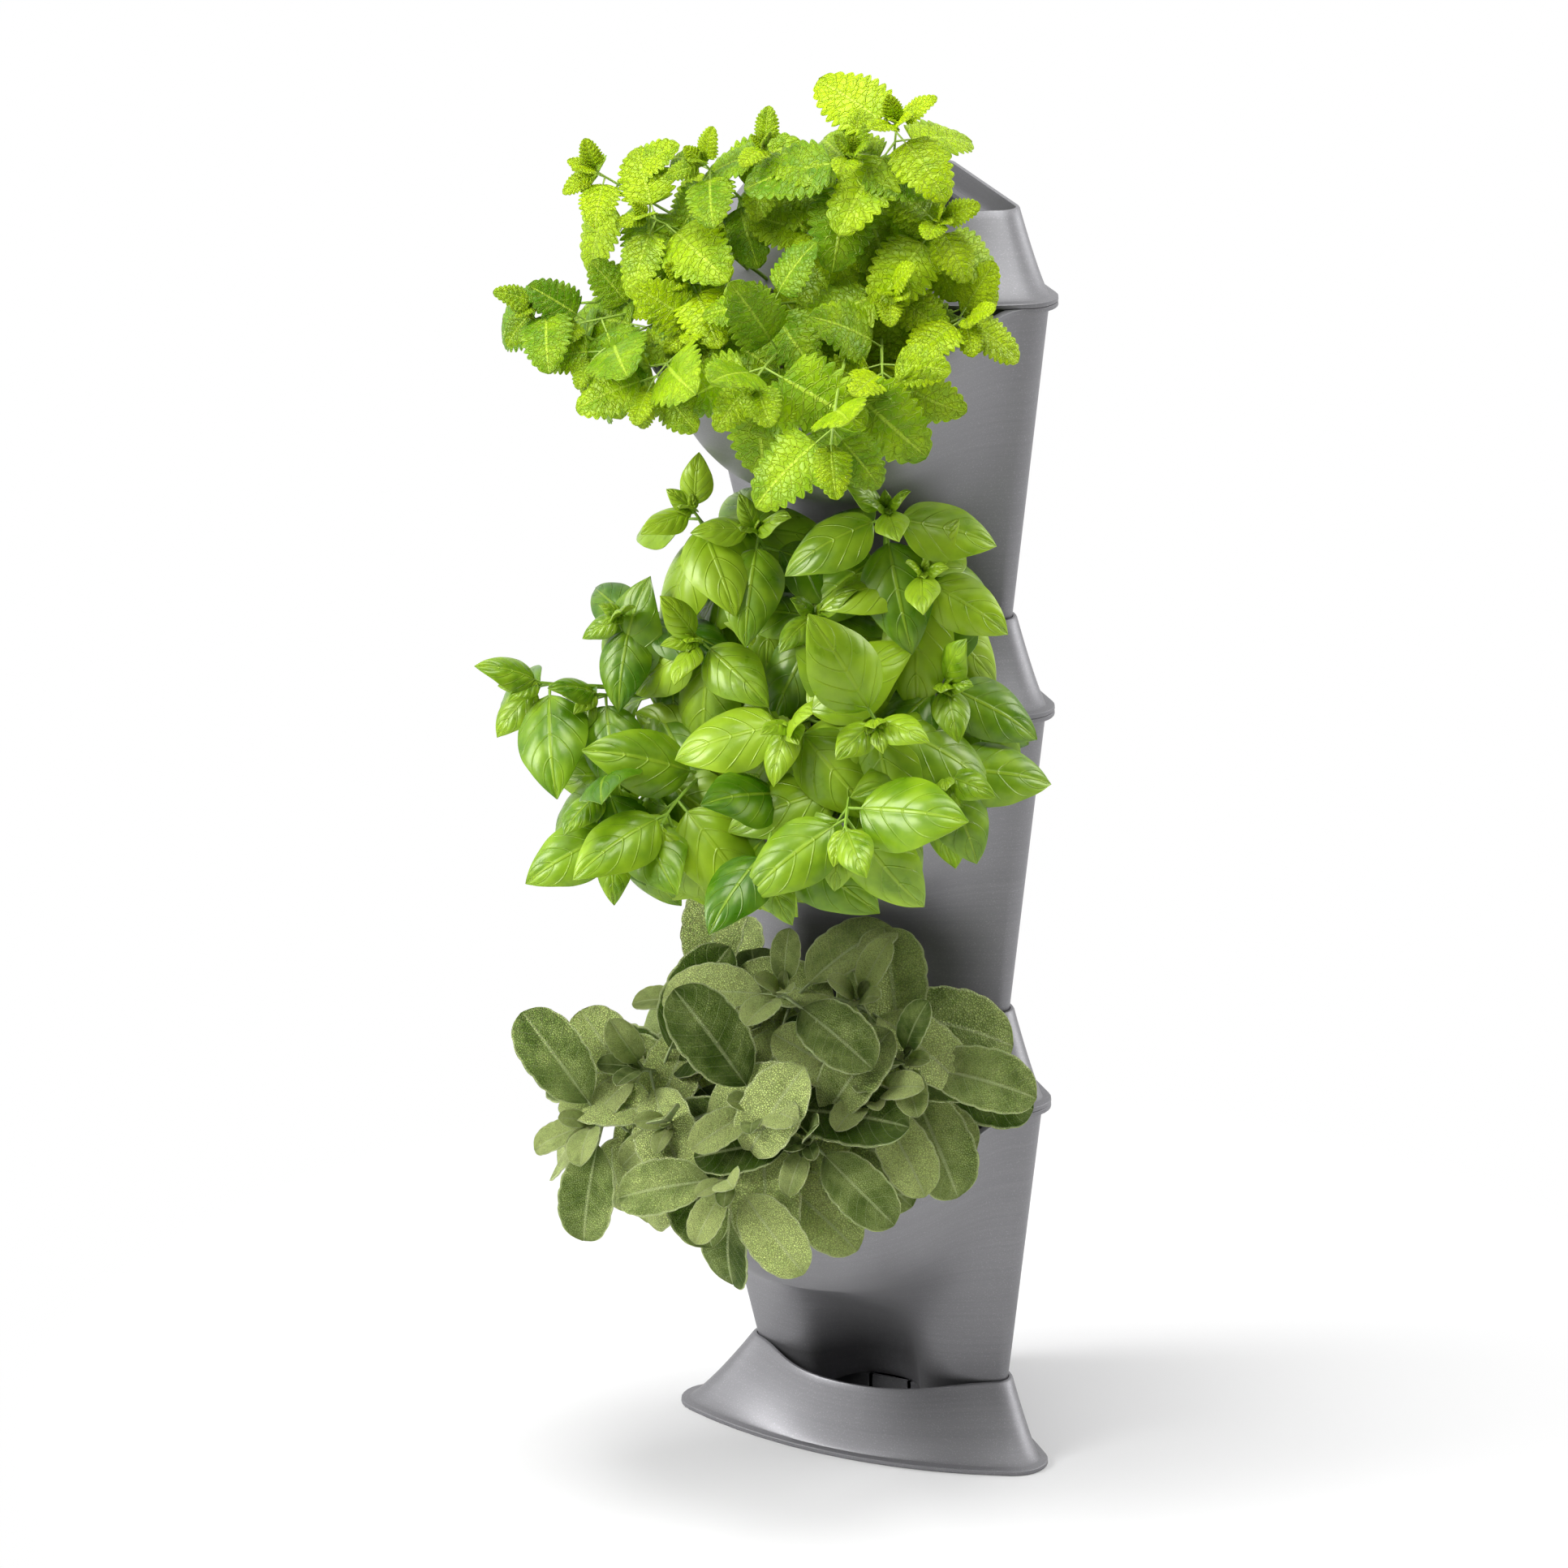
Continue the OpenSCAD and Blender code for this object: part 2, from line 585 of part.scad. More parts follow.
module sage_stems() {
    color(stem_green) planted(0) herb_stems(sage_shoot_shares);
}
module sage_leaves() {
    color(sage_green) planted(0) herb_leaves(sage_shoot_shares, sage_form, false);
}
module sage_tips() {
    color(sage_green) planted(0) herb_leaves(sage_shoot_shares, sage_form, true);
}
module basil_stems() {
    color(stem_green) planted(1) herb_stems(basil_shoot_shares);
}
module basil_leaves() {
    color(basil_green) planted(1) herb_leaves(basil_shoot_shares, basil_form, false);
}
module basil_tips() {
    color(basil_green) planted(1) herb_leaves(basil_shoot_shares, basil_form, true);
}
module balm_stems() {
    color(stem_green) planted(2) herb_stems(balm_shoot_shares);
}
module balm_leaves() {
    color(balm_green) planted(2) herb_leaves(balm_shoot_shares, balm_form, false);
}
module balm_tips() {
    color(balm_green) planted(2) herb_leaves(balm_shoot_shares, balm_form, true);
}

module placed(z) {
    translate([0, 0, z]) children();
}

drip_tray();
placed(feet[0]) pot();  // pot_lower
placed(feet[1]) pot();  // pot_middle
placed(feet[2]) pot();  // pot_upper
placed(rims[0]) collar();  // collar_lower
placed(rims[1]) collar();  // collar_middle
placed(rims[2]) collar();  // collar_top
placed(feet[0]) soil();  // soil_lower
placed(feet[1]) soil();  // soil_middle
placed(feet[2]) soil();  // soil_upper
placed(feet[0]) root_ball();  // root_ball_lower
placed(feet[1]) root_ball();  // root_ball_middle
placed(feet[2]) root_ball();  // root_ball_upper
sage_stems();
basil_stems();
balm_stems();
sage_leaves();
basil_leaves();
balm_leaves();
sage_tips();
basil_tips();
balm_tips();
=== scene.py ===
"""Dresses the corner herb tower: silver mouldings, potting soil and three kitchen herbs."""

import logging
import math
import random
from dataclasses import dataclass, field
from enum import Enum
from typing import Iterable, Optional, Sequence, Union

import bpy
from mathutils import Matrix, Vector, noise
from mathutils.bvhtree import BVHTree


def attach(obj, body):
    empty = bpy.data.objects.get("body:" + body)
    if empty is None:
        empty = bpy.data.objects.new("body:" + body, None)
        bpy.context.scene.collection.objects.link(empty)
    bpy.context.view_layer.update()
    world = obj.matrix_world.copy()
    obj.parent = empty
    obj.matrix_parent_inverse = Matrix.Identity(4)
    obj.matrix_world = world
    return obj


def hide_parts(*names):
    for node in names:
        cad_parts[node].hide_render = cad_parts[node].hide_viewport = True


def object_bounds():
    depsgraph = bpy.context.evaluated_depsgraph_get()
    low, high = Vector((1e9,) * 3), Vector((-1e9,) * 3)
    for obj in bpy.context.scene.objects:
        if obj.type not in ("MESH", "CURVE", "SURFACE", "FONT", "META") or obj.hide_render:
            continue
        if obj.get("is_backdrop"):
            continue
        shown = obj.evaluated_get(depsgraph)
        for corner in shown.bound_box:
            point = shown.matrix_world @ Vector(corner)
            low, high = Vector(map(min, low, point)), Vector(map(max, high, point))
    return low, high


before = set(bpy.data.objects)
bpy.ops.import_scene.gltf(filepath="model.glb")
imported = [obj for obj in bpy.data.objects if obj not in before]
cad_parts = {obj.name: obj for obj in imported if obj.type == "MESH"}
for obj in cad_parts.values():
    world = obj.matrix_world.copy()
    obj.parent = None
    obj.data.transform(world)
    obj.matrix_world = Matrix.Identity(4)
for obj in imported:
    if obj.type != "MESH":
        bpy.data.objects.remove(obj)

LOG = logging.getLogger("herb_tower")
MM, PER_METRE = 0.001, 1000
CAD_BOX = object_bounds()
Point = tuple[float, float, float]
Color = tuple[float, float, float]
Ring = list[Vector]
Plane = tuple[Vector, Vector]
ALONG_X, ALONG_Y, UP = Vector((1, 0, 0)), Vector((0, 1, 0)), Vector((0, 0, 1))
WHITE = (1.0, 1.0, 1.0)


# --- Small helpers -------------------------------------------------------------------------


def mix(a: float, b: float, share: float) -> float:
    """Return the value that lies the given share of the way from a to b."""
    return a + (b - a) * share


def smooth_table(knots: Sequence[tuple[float, float]], at: float) -> float:
    """Read a table with a smooth curve through its knots.

    Args:
        knots: Pairs of place and value, in rising order of place.
        at: Place to read.

    Returns:
        The value there, from a Hermite curve whose slopes never overshoot.
    """
    if at <= knots[0][0]:
        return knots[0][1]
    if at >= knots[-1][0]:
        return knots[-1][1]
    count = len(knots)
    slopes = [(b[1] - a[1]) / (b[0] - a[0]) for a, b in zip(knots, knots[1:])]
    tangents = [slopes[0]]
    for before, after in zip(slopes, slopes[1:]):
        tangents.append(0.0 if before * after <= 0 else 2 * before * after / (before + after))
    tangents.append(slopes[-1])
    i = max(k for k in range(count - 1) if knots[k][0] <= at)
    width = knots[i + 1][0] - knots[i][0]
    s = (at - knots[i][0]) / width
    start, start_slope = 2 * s**3 - 3 * s**2 + 1, s**3 - 2 * s**2 + s
    end, end_slope = -2 * s**3 + 3 * s**2, s**3 - s**2
    value = start * knots[i][1] + start_slope * width * tangents[i]
    return value + end * knots[i + 1][1] + end_slope * width * tangents[i + 1]


def bezier(p: Sequence[Vector], s: float) -> Vector:
    """Return the point at share s of a cubic Bezier curve with four control points."""
    r = 1 - s
    return p[0] * r**3 + p[1] * (3 * s * r * r) + p[2] * (3 * s * s * r) + p[3] * s**3


def bezier_way(p: Sequence[Vector], s: float) -> Vector:
    """Return the unit direction of travel at share s of a cubic Bezier curve."""
    r = 1 - s
    return ((p[1] - p[0]) * (r * r) + (p[2] - p[1]) * (2 * s * r) + (p[3] - p[2]) * (s * s)).normalized()


def circle(
    centre: Vector, right: Vector, up: Vector, radius: float, sides: int, square: float = 0.0
) -> Ring:
    """Return points round a centre.

    Args:
        centre: Middle of the circle.
        right: Unit direction of the first point.
        up: Unit direction of the point a quarter turn on.
        radius: Radius of the circle.
        sides: Number of points.
        square: How much further out its four corners stand, as a share of the radius.

    Returns:
        The points, in order.
    """
    points = []
    for k in range(sides):
        turn = 2 * math.pi * k / sides
        reach = radius * (1 + square * math.cos(4 * turn))
        points.append(centre + right * (reach * math.cos(turn)) + up * (reach * math.sin(turn)))
    return points


# --- Shader writing ------------------------------------------------------------------------

Number = Union[float, "Flow"]


class Flow:
    """A value that flows through a node tree, with arithmetic that adds Math nodes."""

    def __init__(self, tree: "Shader", socket: bpy.types.NodeSocket) -> None:
        """Wrap an output socket of a tree."""
        self.tree = tree
        self.socket = socket

    def _math(self, operation: str, *values: Number) -> "Flow":
        """Add one Math node and return its output."""
        return self.tree.add("ShaderNodeMath", dict(enumerate(values)), operation=operation)["Value"]

    def __add__(self, other: Number) -> "Flow":
        """Return the sum."""
        return self._math("ADD", self, other)

    def __radd__(self, other: float) -> "Flow":
        """Return the sum with a number on the left."""
        return self._math("ADD", other, self)

    def __sub__(self, other: Number) -> "Flow":
        """Return the difference."""
        return self._math("SUBTRACT", self, other)

    def __rsub__(self, other: float) -> "Flow":
        """Return the difference from a number on the left."""
        return self._math("SUBTRACT", other, self)

    def __mul__(self, other: Number) -> "Flow":
        """Return the product."""
        return self._math("MULTIPLY", self, other)

    def __rmul__(self, other: float) -> "Flow":
        """Return the product with a number on the left."""
        return self._math("MULTIPLY", other, self)

    def __pow__(self, other: Number) -> "Flow":
        """Return the power."""
        return self._math("POWER", self, other)

    def __rpow__(self, other: float) -> "Flow":
        """Return the power of a number on the left."""
        return self._math("POWER", other, self)

    def __abs__(self) -> "Flow":
        """Return the distance from zero."""
        return self._math("ABSOLUTE", self)

    def fraction(self) -> "Flow":
        """Return what is left over the whole number below."""
        return self._math("FRACT", self)

    def at_least(self, other: Number) -> "Flow":
        """Return the greater of this and another value."""
        return self._math("MAXIMUM", self, other)

    def at_most(self, other: Number) -> "Flow":
        """Return the smaller of this and another value."""
        return self._math("MINIMUM", self, other)

    def step(self, low: float, high: float) -> "Flow":
        """Return a smooth step that climbs from 0 to 1 between low and high."""
        sockets = {"Value": self, "From Min": low, "From Max": high}
        return self.tree.add("ShaderNodeMapRange", sockets, interpolation_type="SMOOTHSTEP")["Result"]


Value = Union[float, Color, Flow]
Sockets = dict[Union[str, int], Value]


class Shader:
    """The node tree of one material, or of the world."""

    def __init__(self, name: str, world: bool = False) -> None:
        """Start an empty tree.

        Args:
            name: Name of the material or world.
            world: Whether it is the world's tree.
        """
        self.owner = (bpy.data.worlds if world else bpy.data.materials).new(name)
        self.owner.use_nodes = True
        self.nodes = self.owner.node_tree.nodes
        self.links = self.owner.node_tree.links
        self.nodes.clear()

    def add(self, kind: str, sockets: Optional[Sockets] = None, **settings: object) -> dict[str, Flow]:
        """Add a node.

        Args:
            kind: Blender's type name of the node.
            sockets: Values or links, by the name or number of the input.
            settings: Properties of the node, which are set first.

        Returns:
            The node's outputs by name.
        """
        node = self.nodes.new(kind)
        for key, setting in settings.items():
            setattr(node, key, setting)
        for key, value in (sockets or {}).items():
            self.feed(node.inputs[key], value)
        return {o.name: Flow(self, o) for o in node.outputs if o.enabled}

    def feed(self, socket: bpy.types.NodeSocket, value: Value) -> None:
        """Link a flow to an input, or set the input's own value.

        Args:
            socket: The input.
            value: A flow, a number or a colour.
        """
        if isinstance(value, Flow):
            self.links.new(value.socket, socket)
        elif isinstance(value, tuple) and socket.type == "RGBA":
            socket.default_value = (*value, 1)
        else:
            socket.default_value = value

    def vector(self, operation: str, *values: Value, output: str = "Vector") -> Flow:
        """Add one Vector Math node and return the output of the given name."""
        return self.add("ShaderNodeVectorMath", dict(enumerate(values)), operation=operation)[output]

    def noise(self, place: Flow, scale: float, detail: float, roughness: float = 0.5) -> Flow:
        """Return a noise value at a place."""
        sockets = {"Vector": place, "Scale": scale, "Detail": detail, "Roughness": roughness}
        return self.add("ShaderNodeTexNoise", sockets)["Fac"]

    def cells(self, place: Flow, scale: float) -> Flow:
        """Return the distance to the nearest edge of a cell pattern at a place."""
        sockets = {"Vector": place, "Scale": scale}
        return self.add("ShaderNodeTexVoronoi", sockets, feature="DISTANCE_TO_EDGE")["Distance"]

    def blend(self, share: Number, a: Value, b: Value) -> Flow:
        """Return a colour that lies a share of the way from a to b."""
        return self.add("ShaderNodeMix", {"Factor": share, 6: a, 7: b}, data_type="RGBA")["Result"]

    def either(self, share: Number, a: Flow, b: Flow) -> Flow:
        """Return a surface or background that lies a share of the way from a to b."""
        return self.add("ShaderNodeMixShader", {0: share, 1: a, 2: b})["Shader"]

    def glow(self, strength: Number) -> Flow:
        """Return a white background of a strength."""
        return self.add("ShaderNodeBackground", {"Color": WHITE, "Strength": strength})["Background"]

    def place(self, scale: Point = (1.0, 1.0, 1.0)) -> Flow:
        """Return the position on the part in metres, scaled along each axis."""
        return self.vector("MULTIPLY", self.add("ShaderNodeTexCoord")["Object"], scale)

    def attribute(self, name: str) -> Flow:
        """Return a value that the mesh stores at each point."""
        return self.add("ShaderNodeAttribute", attribute_name=name)["Fac"]

    def finish(self, sockets: Sockets, height: Flow, depth: float) -> bpy.types.Material:
        """Close the tree with a Principled surface.

        Args:
            sockets: Values or links of the Principled inputs.
            height: Relief of the surface, 0 to 1.
            depth: Depth of the relief in metres.

        Returns:
            The finished material.
        """
        bump = self.add("ShaderNodeBump", {"Height": height, "Distance": depth, "Strength": 1.0})
        surface = self.add("ShaderNodeBsdfPrincipled", {**sockets, "Normal": bump["Normal"]})["BSDF"]
        self.add("ShaderNodeOutputMaterial", {"Surface": surface})
        return self.owner


# --- Finishes ------------------------------------------------------------------------------


@dataclass(frozen=True)
class SilverPlastic:
    """Semi-gloss silver moulding with fine level flow lines and metal flakes."""

    color: Color = (0.228, 0.226, 0.237)
    shine_color: Color = (0.325, 0.322, 0.338)
    dust_color: Color = (0.42, 0.42, 0.43)
    line_scale: Point = (3.0, 3.0, 420.0)
    cloud_scale: Point = (9.0, 9.0, 16.0)
    flake_scale: float = 1200.0
    dust_scale: float = 260.0
    dust_share: float = 0.25
    roughness: float = 0.48
    metallic: float = 0.6
    relief: float = 0.00006

    def material(self) -> bpy.types.Material:
        """Write the moulding's shader.

        Returns:
            Its material.
        """
        s = Shader("silver_plastic")
        flow_lines = s.noise(s.place(self.line_scale), 1.0, 4, 0.65)
        clouds = s.noise(s.place(self.cloud_scale), 1.0, 2)
        flakes = s.noise(s.place(), self.flake_scale, 2)
        dust = s.noise(s.place(), self.dust_scale, 5, 0.7)
        spark = flakes.step(0.56, 0.7)
        share = (flow_lines * 0.6 + clouds * 0.4 + spark * 0.45 - 0.1).step(0.1, 1.1)
        color = s.blend(share, self.color, self.shine_color)
        color = s.blend(dust.step(0.66, 0.8) * self.dust_share, color, self.dust_color)
        rough = self.roughness + (flow_lines - 0.5) * 0.12 + (dust - 0.5) * 0.1 + (clouds - 0.5) * 0.08
        sockets = {
            "Base Color": color,
            "Roughness": rough,
            "Metallic": self.metallic,
            "Specular IOR Level": 0.5,
        }
        return s.finish(sockets, flow_lines * 0.75 + flakes * 0.25, self.relief)


@dataclass(frozen=True)
class PottingSoil:
    """Dark crumbly soil with pale fibres."""

    name: str = "potting_soil"
    dark: Color = (0.012, 0.008, 0.005)
    light: Color = (0.06, 0.038, 0.022)
    fibre: Color = (0.17, 0.115, 0.065)
    clod_scale: float = 160.0
    fibre_scale: float = 240.0
    fibre_stretch: Point = (1.0, 2.4, 1.0)
    fibre_share: float = 0.35
    roughness: float = 0.95
    relief: float = 0.003

    def material(self) -> bpy.types.Material:
        """Write the soil's shader.

        Returns:
            Its material.
        """
        s = Shader(self.name)
        clods = s.noise(s.place(), self.clod_scale, 6, 0.7)
        fibres = s.cells(s.place(self.fibre_stretch), self.fibre_scale)
        color = s.blend(clods.step(0.35, 0.7), self.dark, self.light)
        color = s.blend((1 - fibres.step(0.0, 0.05)) * self.fibre_share, color, self.fibre)
        return s.finish({"Base Color": color, "Roughness": self.roughness}, clods, self.relief)


class Pattern(Enum):
    """How the surface of a leaf is patterned."""

    PEBBLED = "pebbled"
    SMOOTH = "smooth"
    NETTED = "netted"


@dataclass(frozen=True)
class LeafFinish:
    """A herb's leaf: its greens, its veins and its gloss."""

    name: str
    dark: Color
    light: Color
    vein: Color
    under: Color
    pattern: Pattern
    roughness: float
    gloss: float
    gloss_color: Color
    veins: float
    relief: float
    sheen: float = 0.0
    rim: float = 0.0
    narrow: Point = (1.0, 0.62, 1.0)
    apart: float = 17.0
    vein_lean: float = 1.7
    under_share: float = 0.85

    def material(self) -> bpy.types.Material:
        """Write the leaf's shader, on places that run along and across each leaf.

        Returns:
            Its material.
        """
        s = Shader(self.name)
        leaf = s.add("ShaderNodeUVMap", uv_map="leaf")["UV"]
        axes = s.add("ShaderNodeSeparateXYZ", {"Vector": leaf})
        along, across = axes["X"], abs(axes["Y"] * 2 - 1)
        tint, under = s.attribute("tint"), s.attribute("under")
        drift = s.add("ShaderNodeCombineXYZ", {"X": 0.0, "Y": 0.0, "Z": tint * self.apart})["Vector"]
        spot = s.vector("ADD", s.vector("MULTIPLY", leaf, self.narrow), drift)
        blotch = s.noise(spot, 3.5, 3)
        grain = s.noise(spot, 90.0, 2)
        ladder = abs((along * self.veins - across**1.3 * self.vein_lean).fraction() - 0.5) * 2
        lateral = ladder.step(0.86, 0.99) * (1 - across.step(0.75, 1.0))
        midrib = 1 - across.step(0.02, 0.08)
        color = s.blend((tint * 0.75 + (blotch - 0.5) * 0.9 + 0.12).step(0.0, 1.0), self.dark, self.light)
        if self.pattern is Pattern.SMOOTH:
            lines = midrib * 0.45 + lateral * 0.14
            height = 0.55 - lateral * 0.25 - midrib * 0.3 + grain * 0.02
        elif self.pattern is Pattern.NETTED:
            net = 1 - s.cells(spot, 15.0).step(0.0, 0.1)
            lines = (midrib * 0.7 + lateral * 0.5 + net * 0.22).at_most(1.0)
            height = 0.7 - net * 0.35 - lateral * 0.5 - midrib * 0.3 + grain * 0.08
        else:
            net = 1 - s.cells(spot, 52.0).step(0.0, 0.2)
            lines = (midrib * 0.6 + lateral * 0.2).at_most(1.0)
            height = 0.7 - net * 0.6 - lateral * 0.2 - midrib * 0.2 + grain * 0.12
            # Painted shade: the sunken net between the pebbles is darkened towards the dark green.
            color = s.blend(net * 0.45, color, self.dark)
        color = s.blend(lines, color, self.vein)
        # Pale margin: partly the leaf's pale hairy edge, partly a painted rim light round every leaf.
        if self.rim:
            color = s.blend(across.step(0.9, 0.98) * self.rim, color, self.vein)
        color = s.blend(under * self.under_share, color, self.under)
        sockets = {
            "Base Color": color,
            "Roughness": self.roughness + (blotch - 0.5) * 0.16 + under * 0.2,
            "Specular IOR Level": self.gloss,
            "Specular Tint": self.gloss_color,
            "Sheen Weight": self.sheen,
            "Sheen Roughness": 0.4,
            "Subsurface Weight": 0.12,
            "Subsurface Scale": 0.004,
            "Subsurface Radius": (0.6, 1.0, 0.25),
        }
        return s.finish(sockets, height, self.relief)


@dataclass(frozen=True)
class StemFinish:
    """A square green stem, paler towards the tip."""

    name: str
    young: Color
    old: Color
    roughness: float = 0.5
    streak_scale: float = 500.0
    streak_stretch: Point = (1.0, 1.0, 0.25)
    streak_shade: float = 0.6
    relief: float = 0.0002

    def material(self) -> bpy.types.Material:
        """Write the stem's shader.

        Returns:
            Its material.
        """
        s = Shader(self.name)
        streak = s.noise(s.place(self.streak_stretch), self.streak_scale, 3)
        color = s.blend(s.attribute("age").step(0.0, 1.0), self.young, self.old)
        shadow = tuple(c * self.streak_shade for c in self.young)
        color = s.blend(streak.step(0.45, 0.7) * 0.35, color, shadow)
        return s.finish({"Base Color": color, "Roughness": self.roughness}, streak, self.relief)


SOIL = PottingSoil()
ROOTS = PottingSoil("root_crown", (0.03, 0.019, 0.011), (0.1, 0.066, 0.038), (0.2, 0.15, 0.09))


# --- Meshes --------------------------------------------------------------------------------


@dataclass
class Pile:
    """Points and faces in millimetres that become one piece, with what its finishes read."""

    points: list[Vector] = field(default_factory=list)
    faces: list[tuple[int, ...]] = field(default_factory=list)
    slots: list[int] = field(default_factory=list)
    uvs: list[tuple[float, float]] = field(default_factory=list)
    values: dict[str, list[float]] = field(default_factory=dict)

    def point(self, at: Vector, uv: tuple[float, float] = (0.0, 0.0), **values: float) -> int:
        """Add a point.

        Args:
            at: Its place.
            uv: Its place on a leaf, along and across.
            values: What the finishes read there, by name.

        Returns:
            Its number.
        """
        self.points.append(at)
        self.uvs.append(uv)
        for name, value in values.items():
            self.values.setdefault(name, []).append(value)
        return len(self.points) - 1

    def ring(self, points: Iterable[Vector], **values: float) -> list[int]:
        """Add a row of points that share their values, and return their numbers."""
        return [self.point(p, **values) for p in points]

    def face(self, numbers: Sequence[int], slot: int = 0) -> None:
        """Add a face of one of the piece's finishes."""
        self.faces.append(tuple(numbers))
        self.slots.append(slot)

    def sheet(
        self, grid: Sequence[Sequence[int]], slot: int = 0, closed: bool = False, flip: bool = False
    ) -> None:
        """Join a grid of points with faces.

        Args:
            grid: Rows of point numbers.
            slot: Finish of the faces.
            closed: Whether each row's end meets its start.
            flip: Whether the faces look the other way.
        """
        for a, b in zip(grid, grid[1:]):
            for j in range(len(a) if closed else len(a) - 1):
                k = (j + 1) % len(a)
                quad = (a[j], a[k], b[k], b[j])
                self.face(quad[::-1] if flip else quad, slot)

    def tube(self, rings: Sequence[Sequence[int]], slot: int = 0, flip: bool = False) -> None:
        """Join closed rings of points into a wall, and close both its ends.

        Args:
            rings: Rings of point numbers.
            slot: Finish of the faces.
            flip: Whether the faces look the other way.
        """
        self.sheet(rings, slot, True, flip)
        order = 1 if flip else -1
        self.face(rings[0][::order], slot)
        self.face(rings[-1][::-order], slot)

    def piece(
        self, name: str, materials: Sequence[bpy.types.Material], sharp: float = 40.0
    ) -> bpy.types.Object:
        """Make a Blender object of the pile.

        Args:
            name: Name of the piece.
            materials: Its finishes, by slot number.
            sharp: Edges that turn by more than this many degrees stay sharp.

        Returns:
            The new object, in metres, at the origin.
        """
        mesh = bpy.data.meshes.new(name)
        mesh.from_pydata([p * MM for p in self.points], [], self.faces)
        for material in materials:
            mesh.materials.append(material)
        mesh.polygons.foreach_set("material_index", self.slots)
        layer = mesh.uv_layers.new(name="leaf")
        corners = [0] * len(mesh.loops)
        mesh.loops.foreach_get("vertex_index", corners)
        layer.data.foreach_set("uv", [c for v in corners for c in self.uvs[v]])
        for key, values in self.values.items():
            mesh.attributes.new(key, "FLOAT", "POINT").data.foreach_set("value", values)
        smooth(mesh, sharp)
        mesh.validate()
        mesh.update()
        return shown(name, mesh)


def smooth(mesh: bpy.types.Mesh, sharp: float) -> None:
    """Shade a mesh smooth, but for edges that turn by more than so many degrees."""
    mesh.shade_smooth()
    mesh.set_sharp_from_angle(angle=math.radians(sharp))


def shown(name: str, data: bpy.types.ID) -> bpy.types.Object:
    """Put an object of the given data into the scene.

    Args:
        name: Name of the object.
        data: Its mesh, lamp or camera.

    Returns:
        The object.
    """
    item = bpy.data.objects.new(name, data)
    bpy.context.scene.collection.objects.link(item)
    return item


def carve(item: bpy.types.Object, tool: Pile, sharp: float = 35.0) -> None:
    """Cut the space of a closed pile out of a piece.

    Args:
        item: The piece.
        tool: The space to cut out.
        sharp: Edges of the result that turn by more than this many degrees stay sharp.
    """
    cutter = tool.piece("cutter", [])
    cut = item.modifiers.new("cut", "BOOLEAN")
    cut.operation, cut.solver, cut.object = "DIFFERENCE", "EXACT", cutter
    graph = bpy.context.evaluated_depsgraph_get()
    mesh = bpy.data.meshes.new_from_object(item.evaluated_get(graph))
    item.modifiers.clear()
    old, item.data = item.data, mesh
    name = old.name
    bpy.data.meshes.remove(old)
    mesh.name = name
    bpy.data.meshes.remove(cutter.data)
    smooth(mesh, sharp)


def raised(item: bpy.types.Object, name: str, height: float) -> bpy.types.Object:
    """Copy a piece to another height in millimetres.

    Args:
        item: Piece to copy.
        name: Name of the copy.
        height: How far the copy stands above it.

    Returns:
        The copy, with its place in its mesh.
    """
    mesh = item.data.copy()
    mesh.name = name
    mesh.transform(Matrix.Translation((0, 0, height * MM)))
    return shown(name, mesh)


# --- Mouldings -----------------------------------------------------------------------------

CORNER_STEPS = 9
FRONT_STEPS = 30
BACK_STEPS = 6
EDGE_STEPS = 6
SKIRT_SHARES = (0.0, 0.02, 0.05, 0.09, 0.14, *(0.2 + 0.08 * i for i in range(10)), 0.985)
COLLAR_INSIDE_SHARES = (0.5, 0.4, 0.3, 0.22, 0.16, 0.1, 0.05)
TRAY_INSIDE_SHARES = (0.9, 0.8, 0.7, 0.6, 0.5, 0.4, 0.3, 0.2, 0.12)
TRAY_FLOOR_CURVE = ((0.6, 0.4), (0, 2))
POT_FLOOR_CURVE = ((0.012, 0.5, 0.3), (0.01, 0, 1.2))


def level_turn(degrees: float, radius: float) -> Vector:
    """Return a level offset of a length in a direction, counted from the right."""
    return Vector((radius * math.cos(math.radians(degrees)), radius * math.sin(math.radians(degrees))))


def round_edge(radius: float, thick: float) -> list[tuple[float, float]]:
    """Return the round edge of a flange, from its underside to its top.

    Args:
        radius: Radius of the rounding.
        thick: Thickness of the flange.

    Returns:
        For each step the shift outwards and the height.
    """
    points = []
    for i in range(EDGE_STEPS + 1):
        turn = math.radians(180 * i / EDGE_STEPS - 90)
        centre = radius if 2 * i <= EDGE_STEPS else thick - radius
        points.append((radius * math.cos(turn) - radius, centre + radius * math.sin(turn)))
    return points


